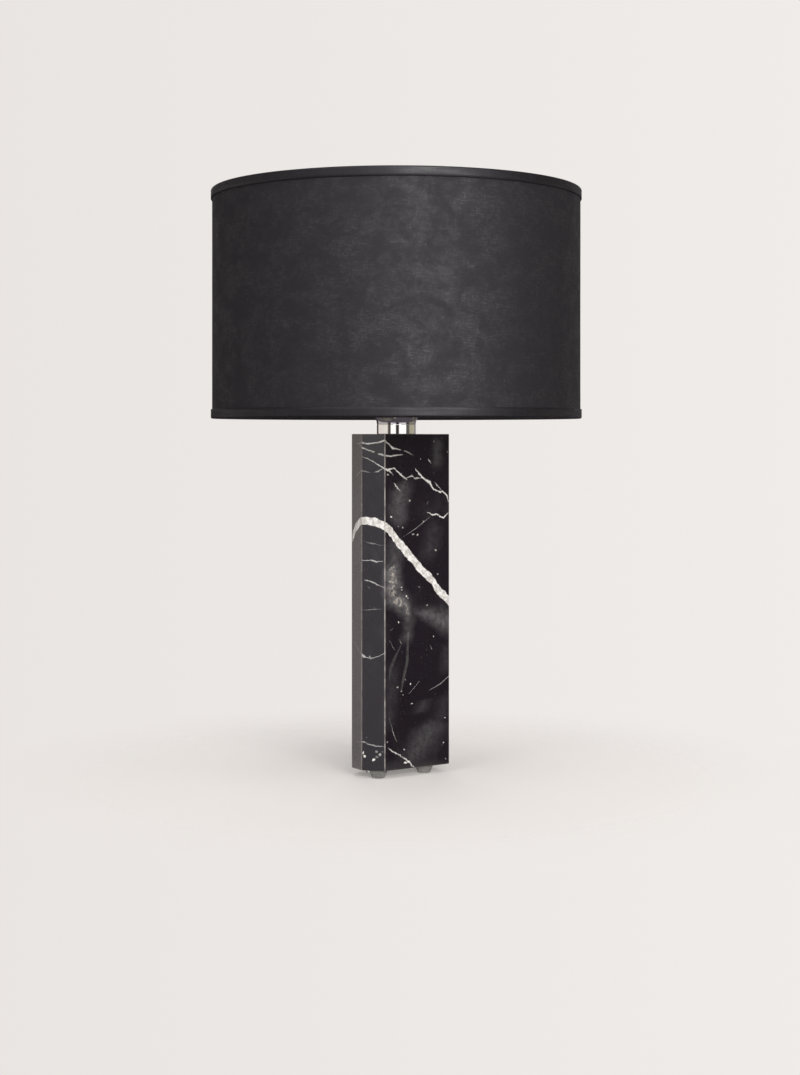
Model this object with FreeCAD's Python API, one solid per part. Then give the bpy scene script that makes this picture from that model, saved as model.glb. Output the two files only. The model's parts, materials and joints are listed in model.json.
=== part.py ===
import FreeCAD
import Part
import math
import os

from FreeCAD import Vector

# Column table lamp, in millimetres. +Z is up, +X runs along the column's long side and
# its chamfered end faces -X. The origin is on the lamp's axis, at the bottom of the feet.

# ---------------------------------------------------------------- driving dimensions

# clearances
thread_fit = 0.05
slip_gap = 0.1
turning_gap = 0.3
seat_gap = 0.05

# clear bumper feet
foot_height = 8.5
foot_top_radius = 10.4
foot_bottom_radius = 6.2
foot_edge_radius = 0.8
foot_inset_chamfered_front = 18.0
foot_inset_chamfered_back = 29.5
foot_inset_square_end = 24.5
foot_inset_side = 13.0

# marble column
column_length = 101.0
column_depth = 56.0
column_height = 358.0
column_chamfer = 18.0
column_arris = 0.7
recess_radius = 15.0
recess_depth = 20.0
rod_bore_clearance = 1.6
cord_hole_radius = 5.0
cord_hole_height = 9.5

# cord bushing in the column's back
bushing_flange_radius = 7.0
bushing_flange_thickness = 1.2
bushing_length = 12.0
bushing_bore_radius = 3.4

# hollow lamp rod with its bottom nut and washer
rod_radius = 4.85
rod_bore_radius = 3.4
rod_tail = 5.0
rod_end_chamfer = 0.5
bottom_washer_radius = 12.0
bottom_washer_thickness = 2.0
bottom_nut_across_flats = 14.0
bottom_nut_thickness = 5.0

# chrome neck
neck_radius = 21.1
neck_wall = 1.2
neck_height = 10.4
neck_plate_thickness = 2.0
cup_radius = 23.3
cup_flare_height = 7.3
cup_height = 19.1
cup_shoulder_radius = 4.0
cup_wall = 1.2

# harp saddle, harp and its sleeves
saddle_washer_radius = 9.0
saddle_washer_thickness = 1.5
saddle_width = 13.0
saddle_thickness = 1.8
saddle_half_span = 33.0
saddle_shoulder_height = 6.0
tongue_width = 6.0
tongue_height = 26.0
harp_height = 219.0
harp_wire_radius = 2.2
harp_leg_start = 4.0
harp_foot_radius = 40.0
harp_side_radius = 110.0
harp_shoulder_radius = 50.0
harp_shoulder_offset = 10.0
harp_shoulder_angle = 20.0
harp_plate_radius = 9.0
sleeve_length = 14.0
sleeve_wall = 1.0
sleeve_clearance = 0.15

# stud at the top of the harp
stud_radius = 3.15
stud_shank_radius = 2.9
stud_rivet_radius = 5.0
stud_rivet_thickness = 2.0
stud_flange_radius = 7.0
stud_flange_thickness = 2.3
stud_length = 13.5
stud_tip_chamfer = 0.6

# drum shade
shade_radius = 200.0
shade_height = 245.5
trim_height = 10.0
trim_inner_height = 8.0
trim_fold_thickness = 0.6
trim_web_thickness = 0.8
trim_edge_radius = 0.6
trim_proud = 1.2
fabric_thickness = 0.55
liner_thickness = 0.9
ring_wire_radius = 1.5

# spider that carries the shade
spider_drop = 12.0
spider_hub_radius = 12.0
spider_hub_thickness = 1.6
spider_hub_clearance = 0.45
spider_arm_radius = 1.5
spider_arm_count = 3
spider_arm_root = 9.5
spider_arm_bend = 150.0
spider_arm_bite = 1.0

# finial
finial_collar_radius = 8.0
finial_collar_height = 2.3
finial_neck_radius = 5.2
finial_taper_height = 3.0
finial_ball_radius = 9.5
finial_neck_height = 3.1
finial_thread_spare = 1.0

# lamp socket
cap_radius = 17.8
cap_wall = 0.8
cap_seat_radius = 9.0
cap_dome_height = 11.0
cap_height = 19.0
cap_hub_wall = 2.0
cap_hub_height = 7.0
rod_end_below_hub_top = 1.0
shell_wall = 0.6
shell_lap = 8.0
shell_length = 50.0
shell_rim_wall = 1.1
shell_rim_height = 1.0
socket_liner_thickness = 0.7
socket_liner_inset = 2.0
socket_body_height = 22.0
socket_body_inset = 1.0
screw_shell_radius = 13.9
screw_shell_wall = 0.5
screw_shell_below_glass = 1.5
contact_leaf_length = 14.0
contact_leaf_width = 6.0
contact_leaf_thickness = 0.8
contact_bump_radius = 3.0
contact_bump_height = 1.3
terminal_flat = 11.5
terminal_head_radius = 2.6
terminal_head_thickness = 1.8
terminal_slot_width = 0.7
terminal_slot_depth = 0.8
terminal_shank_radius = 1.4
terminal_shank_length = 4.0
terminal_height = 9.0

# turn switch
switch_height = 11.0
stem_radius = 2.0
stem_length = 25.0
stem_hole_clearance = 0.4
cam_radius = 5.0
cam_thickness = 4.0
cam_pocket_clearance = 0.35
cam_inner_face = 4.0
knob_hub_radius = 4.0
knob_length = 13.0
knob_hole_depth = 9.0
knob_paddle_width = 16.0
knob_paddle_thickness = 3.2
knob_paddle_corner = 3.0
knob_paddle_start = 3.0

# bulb
bulb_contact_radius = 4.0
bulb_contact_thickness = 1.2
bulb_contact_rise = 0.3
insulator_radius = 11.6
insulator_tip_radius = 5.5
insulator_taper = 2.6
insulator_height = 3.4
bulb_cap_radius = 13.0
bulb_cap_wall = 0.4
bulb_cap_ridge = 0.8
bulb_cap_ridges = 5
bulb_cap_pitch = 2.8
bulb_cap_rim = 1.0
bulb_neck_radius = 14.5
bulb_neck_length = 8.0
bulb_radius = 30.0
bulb_globe_height = 60.0
bulb_globe_start_angle = -35.0
bulb_neck_draw = 1.3
bulb_wall = 0.9
stem_foot_thickness = 1.2
stem_flare_height = 10.0
stem_column_radius = 3.2
stem_column_height = 36.0
filament_wire_radius = 0.45
filament_lead_spread = 1.6
filament_half_width = 13.0
filament_rise = 20.0

# ---------------------------------------------------------------- derived levels

column_bottom = foot_height
column_top = column_bottom + column_height
recess_top = column_bottom + recess_depth
neck_top = column_top + neck_height
cup_top = neck_top + cup_height
saddle_bottom = cup_top + saddle_washer_thickness
saddle_top = saddle_bottom + saddle_thickness
shoulder_top = saddle_top + saddle_shoulder_height
tongue_top = saddle_top + tongue_height
spider_seat = saddle_bottom + harp_height
shade_top = spider_seat + spider_drop
shade_bottom = shade_top - shade_height

nut_top = recess_top - bottom_washer_thickness
nut_bottom = nut_top - bottom_nut_thickness
rod_bottom = nut_bottom - rod_tail
cord_hole_level = column_bottom + cord_hole_height

fabric_radius = shade_radius - trim_proud
liner_radius = fabric_radius - fabric_thickness - seat_gap
liner_inner_radius = liner_radius - liner_thickness
ring_radius = liner_inner_radius - seat_gap - ring_wire_radius
trim_inner_radius = ring_radius - ring_wire_radius - seat_gap - trim_fold_thickness
ring_inset = trim_web_thickness + seat_gap + ring_wire_radius

cap_top = saddle_top + cap_height
shell_radius = cap_radius - cap_wall - slip_gap
shell_bottom = cap_top - shell_lap
shell_top = shell_bottom + shell_length
socket_liner_radius = shell_radius - shell_wall - slip_gap
socket_body_radius = socket_liner_radius - socket_liner_thickness - slip_gap
socket_body_bottom = shell_bottom + socket_body_inset
socket_body_top = socket_body_bottom + socket_body_height
switch_level = socket_body_bottom + switch_height
bulb_contact_bottom = (
    socket_body_top + contact_leaf_thickness + contact_bump_height + bulb_contact_rise
)
insulator_bottom = bulb_contact_bottom + bulb_contact_thickness
bulb_cap_bottom = insulator_bottom + insulator_taper
bulb_cap_top = bulb_cap_bottom + bulb_cap_pitch * bulb_cap_ridges + bulb_cap_rim
bulb_globe_level = bulb_cap_top + bulb_globe_height


# ---------------------------------------------------------------- helpers


def cylinder(radius, bottom, top, x=0.0, y=0.0):
    return Part.makeCylinder(radius, top - bottom, Vector(x, y, bottom))


def tube(outer, inner, bottom, top, x=0.0, y=0.0):
    return cylinder(outer, bottom, top, x, y).cut(cylinder(inner, bottom, top, x, y))


def box(low, high):
    size = [high[i] - low[i] for i in range(3)]
    return Part.makeBox(size[0], size[1], size[2], Vector(*low))


def outline_edges(outline):
    """Edges of a closed outline of (r, z) points; (mid_r, mid_z, r, z) is an arc to r, z."""
    edges = []
    ends = outline[1:] + outline[:1]
    start = Vector(outline[0][-2], 0, outline[0][-1])
    for step in ends:
        end = Vector(step[-2], 0, step[-1])
        if len(step) == 4:
            middle = Vector(step[0], 0, step[1])
            edges.append(Part.Arc(start, middle, end).toShape())
        elif (end - start).Length > 1e-6:
            edges.append(Part.makeLine(start, end))
        start = end
    return edges


def lathe(outline):
    """The solid that the outline, in the XZ plane, sweeps round the Z axis."""
    face = Part.Face(Part.Wire(outline_edges(outline)))
    return face.revolve(Vector(0, 0, 0), Vector(0, 0, 1), 360)


def bent_rod(points, radius):
    """A round rod along straight runs, mitred where it bends."""
    path = Part.makePolygon([Vector(*p) for p in points])
    start = Vector(*points[0])
    direction = Vector(*points[1]) - start
    section = Part.Wire(Part.makeCircle(radius, start, direction))
    return Part.Wire(path).makePipeShell([section], True, False, 1)


def mirrored_x(shape):
    return shape.mirror(Vector(0, 0, 0), Vector(1, 0, 0))


def bore_radius(shaft_radius):
    return shaft_radius + thread_fit


# ---------------------------------------------------------------- foot and column


def bumper_feet():
    edge = foot_edge_radius
    turn = math.sin(math.pi / 4)
    outline = [
        (0, 0),
        (foot_bottom_radius, 0),
        (foot_bottom_radius + edge * turn, edge * (1 - turn), foot_bottom_radius + edge, edge),
        (foot_top_radius, foot_height),
        (0, foot_height),
    ]
    foot = lathe(outline)
    chamfered_end = -column_length / 2
    x_square = column_length / 2 - foot_inset_square_end
    y_side = column_depth / 2 - foot_inset_side
    places = [
        (chamfered_end + foot_inset_chamfered_front, -y_side),
        (chamfered_end + foot_inset_chamfered_back, y_side),
        (x_square, -y_side),
        (x_square, y_side),
    ]
    feet = []
    for x, y in places:
        placed = foot.copy()
        placed.translate(Vector(x, y, 0))
        feet.append(placed)
    return Part.makeCompound(feet)


def marble_column():
    half_length = column_length / 2
    half_depth = column_depth / 2
    corners = [
        (-half_length, -half_depth + column_chamfer),
        (-half_length + column_chamfer, -half_depth),
        (half_length, -half_depth),
        (half_length, half_depth),
        (-half_length + column_chamfer, half_depth),
        (-half_length, half_depth - column_chamfer),
    ]
    points = [Vector(x, y, column_bottom) for x, y in corners]
    base = Part.Face(Part.makePolygon(points + points[:1]))
    prism = base.extrude(Vector(0, 0, column_height))
    prism = prism.makeChamfer(column_arris, prism.Edges)
    recess = cylinder(recess_radius, column_bottom, recess_top)
    rod_bore = cylinder(rod_radius + rod_bore_clearance, column_bottom, column_top)
    cord_hole = Part.makeCylinder(
        cord_hole_radius, half_depth, Vector(0, 0, cord_hole_level), Vector(0, 1, 0)
    )
    return prism.cut(recess).cut(rod_bore).cut(cord_hole)


def cord_bushing():
    back = column_depth / 2
    mouth = back + bushing_flange_thickness
    origin = Vector(0, back - bushing_length, cord_hole_level)
    along = Vector(0, 1, 0)
    body = Part.makeCylinder(cord_hole_radius - thread_fit, bushing_length, origin, along)
    flange = Part.makeCylinder(
        bushing_flange_radius,
        bushing_flange_thickness,
        Vector(0, back, cord_hole_level),
        along,
    )
    rim = [e for e in flange.Edges if abs(e.CenterOfMass.y - mouth) < 1e-6]
    flange = flange.makeFillet(bushing_flange_thickness / 2, rim)
    bore = Part.makeCylinder(
        bushing_bore_radius, bushing_length + bushing_flange_thickness, origin, along
    )
    return body.fuse(flange).cut(bore).removeSplitter()


def lamp_rod():
    top = saddle_top + cap_hub_height - rod_end_below_hub_top
    outline = [
        (rod_bore_radius, rod_bottom),
        (rod_radius - rod_end_chamfer, rod_bottom),
        (rod_radius, rod_bottom + rod_end_chamfer),
        (rod_radius, top - rod_end_chamfer),
        (rod_radius - rod_end_chamfer, top),
        (rod_bore_radius, top),
    ]
    return lathe(outline)


def bottom_washer():
    return tube(bottom_washer_radius, bore_radius(rod_radius), nut_top, recess_top)


def bottom_nut():
    corner = bottom_nut_across_flats / math.sqrt(3)
    points = []
    for i in range(6):
        angle = math.radians(60 * i)
        points.append(Vector(corner * math.cos(angle), corner * math.sin(angle), nut_bottom))
    hexagon = Part.Face(Part.makePolygon(points + points[:1]))
    blank = hexagon.extrude(Vector(0, 0, bottom_nut_thickness))
    crown = Part.makeCone(
        bottom_nut_across_flats / 2,
        bottom_nut_across_flats / 2 + bottom_nut_thickness,
        bottom_nut_thickness,
        Vector(0, 0, nut_bottom),
    )
    bore = cylinder(bore_radius(rod_radius), nut_bottom, nut_top)
    return blank.common(crown).cut(bore)


# ---------------------------------------------------------------- neck


def neck_plate():
    radius = neck_radius - neck_wall - slip_gap
    top = column_top + neck_plate_thickness
    return tube(radius, bore_radius(rod_radius), column_top, top)


def neck_tube():
    return tube(neck_radius, neck_radius - neck_wall, column_top, neck_top)


def neck_cup():
    flare_top = neck_top + cup_flare_height
    flare_run = cup_radius - neck_radius
    flare_arc = (cup_flare_height**2 + flare_run**2) / (2 * flare_run)
    half_turn = math.asin(cup_flare_height / flare_arc) / 2
    middle_run = flare_arc * (1 - math.cos(half_turn))
    middle_level = neck_top + flare_arc * math.sin(half_turn)
    shoulder = cup_shoulder_radius
    inner_shoulder = shoulder - cup_wall
    turn = math.sin(math.pi / 4)
    outline = [
        (neck_radius, neck_top),
        (neck_radius + middle_run, middle_level, cup_radius, flare_top),
        (cup_radius, cup_top - shoulder),
        (
            cup_radius - shoulder * (1 - turn),
            cup_top - shoulder * (1 - turn),
            cup_radius - shoulder,
            cup_top,
        ),
        (bore_radius(rod_radius), cup_top),
        (bore_radius(rod_radius), cup_top - cup_wall),
        (cup_radius - shoulder, cup_top - cup_wall),
        (
            cup_radius - cup_wall - inner_shoulder * (1 - turn),
            cup_top - cup_wall - inner_shoulder * (1 - turn),
            cup_radius - cup_wall,
            cup_top - shoulder,
        ),
        (cup_radius - cup_wall, flare_top),
        (
            neck_radius - neck_wall + middle_run,
            middle_level,
            neck_radius - neck_wall,
            neck_top,
        ),
    ]
    return lathe(outline)


def saddle_washer():
    return tube(saddle_washer_radius, bore_radius(rod_radius), cup_top, saddle_bottom)


# ---------------------------------------------------------------- harp

tongue_outer_x = saddle_half_span + saddle_thickness / 2
tongue_inner_x = saddle_half_span - saddle_thickness / 2
harp_leg_x = tongue_outer_x + slip_gap + harp_wire_radius
harp_wire_top = spider_seat - stud_flange_thickness - harp_wire_radius


def sleeve_centre_and_radius():
    """Smallest circle round the tongue's inner corners and the wire's outer side."""
    reach = harp_leg_x + harp_wire_radius
    half_width = tongue_width / 2
    centre = (reach**2 - tongue_inner_x**2 - half_width**2) / (2 * (reach - tongue_inner_x))
    return centre, reach - centre


def harp_saddle():
    half_width = saddle_width / 2
    base = box(
        (-tongue_outer_x, -half_width, saddle_bottom),
        (tongue_outer_x, half_width, saddle_top),
    )
    bend = [e for e in base.Edges if abs(e.CenterOfMass.z - saddle_bottom) < 1e-6]
    bend = [e for e in bend if abs(abs(e.CenterOfMass.x) - tongue_outer_x) < 1e-6]
    saddle = base.makeFillet(saddle_thickness * 0.8, bend)
    arm = box(
        (tongue_inner_x, -half_width, saddle_top),
        (tongue_outer_x, half_width, shoulder_top),
    )
    tongue = box(
        (tongue_inner_x, -tongue_width / 2, shoulder_top),
        (tongue_outer_x, tongue_width / 2, tongue_top),
    )
    side = arm.fuse(tongue)
    saddle = saddle.fuse([side, mirrored_x(side)])
    bore = cylinder(bore_radius(rod_radius), saddle_bottom, saddle_top)
    return saddle.cut(bore).removeSplitter()


def harp_path():
    """Centre line of the harp's right half, from the foot of its leg to the top."""
    side_centre_angle = math.radians(harp_shoulder_angle)
    top_centre = Vector(harp_shoulder_offset, 0, harp_wire_top - harp_shoulder_radius)
    out = Vector(math.cos(side_centre_angle), 0, math.sin(side_centre_angle))
    shoulder = top_centre + out * harp_shoulder_radius
    side_centre = shoulder - out * harp_side_radius
    foot_centre_x = harp_leg_x + harp_foot_radius
    across = foot_centre_x - side_centre.x
    reach = harp_foot_radius + harp_side_radius
    foot_centre = Vector(
        foot_centre_x, 0, side_centre.z - math.sqrt(reach**2 - across**2)
    )
    tangent = (foot_centre - side_centre).normalize()
    meeting = side_centre + tangent * harp_side_radius
    leg_bottom = Vector(harp_leg_x, 0, saddle_top + harp_leg_start)
    leg_top = Vector(harp_leg_x, 0, foot_centre.z)
    to_leg = Vector(-1, 0, 0)
    foot_middle = foot_centre + (to_leg - tangent).normalize() * harp_foot_radius
    side_middle = side_centre + (tangent + out).normalize() * harp_side_radius
    up = Vector(0, 0, 1)
    shoulder_middle = top_centre + (out + up).normalize() * harp_shoulder_radius
    crown = top_centre + up * harp_shoulder_radius
    return [
        Part.makeLine(leg_bottom, leg_top),
        Part.Arc(leg_top, foot_middle, meeting).toShape(),
        Part.Arc(meeting, side_middle, shoulder).toShape(),
        Part.Arc(shoulder, shoulder_middle, crown).toShape(),
        Part.makeLine(crown, Vector(0, 0, harp_wire_top)),
    ]


def harp():
    path = Part.Wire(harp_path())
    start = Vector(harp_leg_x, 0, saddle_top + harp_leg_start)
    section = Part.Wire(Part.makeCircle(harp_wire_radius, start, Vector(0, 0, 1)))
    half = path.makePipeShell([section], True, False)
    plate = cylinder(
        harp_plate_radius, harp_wire_top - harp_wire_radius, harp_wire_top + harp_wire_radius
    )
    hole = cylinder(
        stud_shank_radius + thread_fit,
        harp_wire_top - harp_wire_radius,
        harp_wire_top + harp_wire_radius,
    )
    return half.fuse([mirrored_x(half), plate]).cut(hole).removeSplitter()


def harp_sleeve():
    centre, radius = sleeve_centre_and_radius()
    inner = radius + sleeve_clearance
    bottom = shoulder_top + turning_gap
    sleeve = tube(inner + sleeve_wall, inner, bottom, bottom + sleeve_length, centre)
    edges = [e for e in sleeve.Edges if e.Curve.TypeId == "Part::GeomCircle"]
    outer = [e for e in edges if e.Curve.Radius > inner + sleeve_wall / 2]
    return sleeve.makeFillet(sleeve_wall * 0.4, outer)


def harp_stud():
    plate_bottom = harp_wire_top - harp_wire_radius
    plate_top = harp_wire_top + harp_wire_radius
    tip = spider_seat + stud_length
    outline = [
        (0, plate_bottom - stud_rivet_thickness),
        (stud_rivet_radius * 0.7, plate_bottom - stud_rivet_thickness),
        (stud_rivet_radius, plate_bottom - stud_rivet_thickness / 2),
        (stud_rivet_radius, plate_bottom),
        (stud_shank_radius, plate_bottom),
        (stud_shank_radius, plate_top),
        (stud_flange_radius, plate_top),
        (stud_flange_radius, spider_seat),
        (stud_radius, spider_seat),
        (stud_radius, tip - stud_tip_chamfer),
        (stud_radius - stud_tip_chamfer, tip),
        (0, tip),
    ]
    return lathe(outline)


# ---------------------------------------------------------------- socket and switch


def socket_cap():
    dome_top = saddle_top + cap_dome_height
    bend_r = cap_radius - (cap_radius - cap_seat_radius) * 0.22
    bend_z = saddle_top + cap_dome_height * 0.45
    floor = saddle_top + cap_wall
    hub_top = saddle_top + cap_hub_height
    hub_radius = rod_radius + cap_hub_wall
    outline = [
        (bore_radius(rod_radius), saddle_top),
        (cap_seat_radius, saddle_top),
        (bend_r, bend_z, cap_radius, dome_top),
        (cap_radius, cap_top),
        (cap_radius - cap_wall, cap_top),
        (cap_radius - cap_wall, dome_top),
        (bend_r - cap_wall * 0.8, bend_z + cap_wall * 0.6, cap_seat_radius, floor),
        (hub_radius, floor),
        (hub_radius, hub_top),
        (bore_radius(rod_radius), hub_top),
    ]
    return lathe(outline)


def stem_hole(radius, length):
    return Part.makeCylinder(radius, length, Vector(0, 0, switch_level), Vector(0, -1, 0))


def socket_shell():
    inner = shell_radius - shell_wall
    rim_inner = shell_radius - shell_rim_wall
    outline = [
        (inner, shell_bottom),
        (shell_radius, shell_bottom),
        (shell_radius, shell_top),
        (rim_inner, shell_top),
        (rim_inner, shell_top - shell_rim_height),
        (inner, shell_top - shell_rim_height),
    ]
    hole = stem_hole(stem_radius + stem_hole_clearance, shell_radius + 1)
    return lathe(outline).cut(hole)


def socket_liner():
    bottom = shell_bottom
    top = shell_top - socket_liner_inset
    inner = socket_liner_radius - socket_liner_thickness
    hole = stem_hole(stem_radius + stem_hole_clearance, shell_radius + 1)
    return tube(socket_liner_radius, inner, bottom, top).cut(hole)


def socket_body():
    body = cylinder(socket_body_radius, socket_body_bottom, socket_body_top)
    for side in (-1, 1):
        near = side * terminal_flat
        far = side * (socket_body_radius + 1)
        flat = box(
            (min(near, far), -socket_body_radius, socket_body_bottom),
            (max(near, far), socket_body_radius, socket_body_top),
        )
        body = body.cut(flat)
        screw_hole = Part.makeCylinder(
            terminal_shank_radius + thread_fit,
            terminal_shank_length,
            Vector(near, 0, socket_body_bottom + terminal_height),
            Vector(-side, 0, 0),
        )
        body = body.cut(screw_hole)
    pocket = Part.makeCylinder(
        cam_radius + cam_pocket_clearance,
        socket_body_radius,
        Vector(0, -cam_inner_face + cam_pocket_clearance, switch_level),
        Vector(0, -1, 0),
    )
    return body.cut(pocket)


def terminal_screws():
    screws = []
    level = socket_body_bottom + terminal_height
    for side in (-1, 1):
        face = side * terminal_flat
        out = Vector(side, 0, 0)
        head = Part.makeCylinder(
            terminal_head_radius, terminal_head_thickness, Vector(face, 0, level), out
        )
        shank = Part.makeCylinder(
            terminal_shank_radius, terminal_shank_length, Vector(face, 0, level), -out
        )
        slot_low = terminal_head_thickness - terminal_slot_depth
        near = face + side * slot_low
        far = face + side * terminal_head_thickness
        half = terminal_slot_width / 2
        slot = box(
            (min(near, far), -terminal_head_radius, level - half),
            (max(near, far), terminal_head_radius, level + half),
        )
        screws.append(head.fuse(shank).cut(slot).removeSplitter())
    return Part.makeCompound(screws)


def screw_shell():
    top = bulb_cap_top - screw_shell_below_glass
    inner = screw_shell_radius - screw_shell_wall
    wall = tube(screw_shell_radius, inner, socket_body_top, top)
    floor_inner = contact_leaf_length / 2 + 1
    floor = tube(inner, floor_inner, socket_body_top, socket_body_top + screw_shell_wall)
    return wall.fuse(floor).removeSplitter()


def centre_contact():
    half_length = contact_leaf_length / 2
    half_width = contact_leaf_width / 2
    leaf_top = socket_body_top + contact_leaf_thickness
    leaf = box(
        (-half_length, -half_width, socket_body_top), (half_length, half_width, leaf_top)
    )
    bump = cylinder(contact_bump_radius, socket_body_top, leaf_top + contact_bump_height)
    rim = [e for e in bump.Edges if abs(e.CenterOfMass.z - bump.BoundBox.ZMax) < 1e-6]
    bump = bump.makeFillet(contact_bump_height * 0.6, rim)
    return leaf.fuse(bump).removeSplitter()


def switch_cam():
    blank = Part.makeCylinder(
        cam_radius,
        cam_thickness,
        Vector(0, -cam_inner_face, switch_level),
        Vector(0, -1, 0),
    )
    flat = box(
        (-cam_radius, -cam_inner_face - cam_thickness, switch_level + cam_radius * 0.7),
        (cam_radius, -cam_inner_face, switch_level + cam_radius),
    )
    other = box(
        (-cam_radius, -cam_inner_face - cam_thickness, switch_level - cam_radius),
        (cam_radius, -cam_inner_face, switch_level - cam_radius * 0.7),
    )
    bore = stem_hole(bore_radius(stem_radius), cam_inner_face + cam_thickness)
    return blank.cut(flat).cut(other).cut(bore)


def switch_stem():
    return Part.makeCylinder(
        stem_radius, stem_length, Vector(0, -cam_inner_face, switch_level), Vector(0, -1, 0)
    )


def switch_knob():
    stem_tip = -cam_inner_face - stem_length
    hub_start = stem_tip + knob_hole_depth
    out = Vector(0, -1, 0)
    hub = Part.makeCylinder(
        knob_hub_radius, knob_length, Vector(0, hub_start, switch_level), out
    )
    half_width = knob_paddle_width / 2
    half_thickness = knob_paddle_thickness / 2
    paddle = box(
        (-half_width, hub_start - knob_length, switch_level - half_thickness),
        (half_width, hub_start - knob_paddle_start, switch_level + half_thickness),
    )
    corners = [e for e in paddle.Edges if abs(e.tangentAt(e.FirstParameter).z) > 0.99]
    paddle = paddle.makeFillet(knob_paddle_corner, corners)
    hole = Part.makeCylinder(
        bore_radius(stem_radius), knob_hole_depth, Vector(0, hub_start, switch_level), out
    )
    return hub.fuse(paddle).cut(hole).removeSplitter()


# ---------------------------------------------------------------- bulb


def bulb_contact():
    return cylinder(bulb_contact_radius, bulb_contact_bottom, insulator_bottom)


def bulb_insulator():
    outline = [
        (0, insulator_bottom),
        (insulator_tip_radius, insulator_bottom),
        (insulator_radius, bulb_cap_bottom),
        (insulator_radius, insulator_bottom + insulator_height),
        (0, insulator_bottom + insulator_height),
    ]
    return lathe(outline)


def bulb_cap():
    root = bulb_cap_radius - bulb_cap_ridge
    quarter = bulb_cap_pitch / 4
    outside = [(root, bulb_cap_bottom)]
    for ridge in range(bulb_cap_ridges):
        level = bulb_cap_bottom + ridge * bulb_cap_pitch
        middle = level + 2 * quarter
        outside.append((bulb_cap_radius, middle, root, level + 4 * quarter))
    outside.append((root, bulb_cap_top))
    inner = root - bulb_cap_wall
    inside = [(inner, bulb_cap_top), (inner, bulb_cap_bottom)]
    return lathe(outside + inside)


def bulb_shape(inset):
    """The bulb's envelope as a solid, drawn in by inset."""
    radius = bulb_radius - inset
    neck = bulb_neck_radius - inset
    start = math.radians(bulb_globe_start_angle)
    globe_r = radius * math.cos(start)
    globe_z = bulb_globe_level + radius * math.sin(start)
    neck_top_level = bulb_cap_top + bulb_neck_length
    middle_r = (neck + globe_r) / 2 - bulb_neck_draw
    middle_z = (neck_top_level + globe_z) / 2
    half_turn = (start + math.pi / 2) / 2
    outline = [
        (0, bulb_cap_top),
        (neck, bulb_cap_top),
        (neck, neck_top_level),
        (middle_r, middle_z, globe_r, globe_z),
        (
            radius * math.cos(half_turn),
            bulb_globe_level + radius * math.sin(half_turn),
            0,
            bulb_globe_level + radius,
        ),
    ]
    return lathe(outline)


def bulb_glass():
    return bulb_shape(0).cut(bulb_shape(bulb_wall))


def bulb_stem():
    foot_radius = bulb_neck_radius - bulb_wall - slip_gap
    foot_top = bulb_cap_top + stem_foot_thickness
    flare_top = foot_top + stem_flare_height
    stem_top = bulb_cap_top + stem_column_height
    outline = [
        (0, bulb_cap_top),
        (foot_radius, bulb_cap_top),
        (foot_radius, foot_top),
        (
            stem_column_radius + foot_radius * 0.2,
            foot_top + stem_flare_height * 0.3,
            stem_column_radius,
            flare_top,
        ),
        (stem_column_radius, stem_top),
        (0, stem_top),
    ]
    return lathe(outline)


def bulb_filament():
    low = bulb_cap_top + stem_column_height
    high = low + filament_rise
    points = [
        (-filament_lead_spread, 0, low),
        (-filament_half_width, 0, high),
        (filament_half_width, 0, high),
        (filament_lead_spread, 0, low),
    ]
    wire = bent_rod(points, filament_wire_radius)
    return wire.cut(cylinder(stem_column_radius, bulb_cap_top, low))


# ---------------------------------------------------------------- shade and finial

spider_hub_top = spider_seat + seat_gap + spider_hub_thickness
spider_arm_level = spider_hub_top - spider_arm_radius
ring_top_level = shade_top - ring_inset
ring_bottom_level = shade_bottom + ring_inset


def arm_rod(radius, reach):
    """One spider arm along +Y, out to reach from the axis."""
    slope = (ring_top_level - spider_arm_level) / (ring_radius - spider_arm_bend)
    end_level = spider_arm_level + slope * (reach - spider_arm_bend)
    points = [
        (0, spider_arm_root, spider_arm_level),
        (0, spider_arm_bend, spider_arm_level),
        (0, reach, end_level),
    ]
    return bent_rod(points, radius)


def round_the_axis(shape, count):
    copies = []
    for i in range(count):
        turned = shape.copy()
        turned.rotate(Vector(0, 0, 0), Vector(0, 0, 1), 360.0 * i / count)
        copies.append(turned)
    return copies


def shade_ring(level):
    return Part.makeTorus(ring_radius, ring_wire_radius, Vector(0, 0, level))


def shade_spider():
    bottom = spider_seat + seat_gap
    hub = cylinder(spider_hub_radius, bottom, spider_hub_top)
    arm = arm_rod(spider_arm_radius, ring_radius - spider_arm_bite)
    hollow = Part.makeTorus(
        ring_radius, ring_wire_radius + seat_gap, Vector(0, 0, ring_top_level)
    )
    arm = arm.cut(hollow)
    spider = hub.fuse(round_the_axis(arm, spider_arm_count))
    hole = cylinder(stud_radius + spider_hub_clearance, bottom, spider_hub_top)
    return spider.cut(hole).removeSplitter()


def shade_liner():
    low = shade_bottom + trim_web_thickness + seat_gap
    high = shade_top - trim_web_thickness - seat_gap
    return tube(liner_radius, liner_inner_radius, low, high)


def shade_fabric():
    low = shade_bottom + trim_web_thickness + seat_gap
    high = shade_top - trim_web_thickness - seat_gap
    return tube(fabric_radius, fabric_radius - fabric_thickness, low, high)


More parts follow.
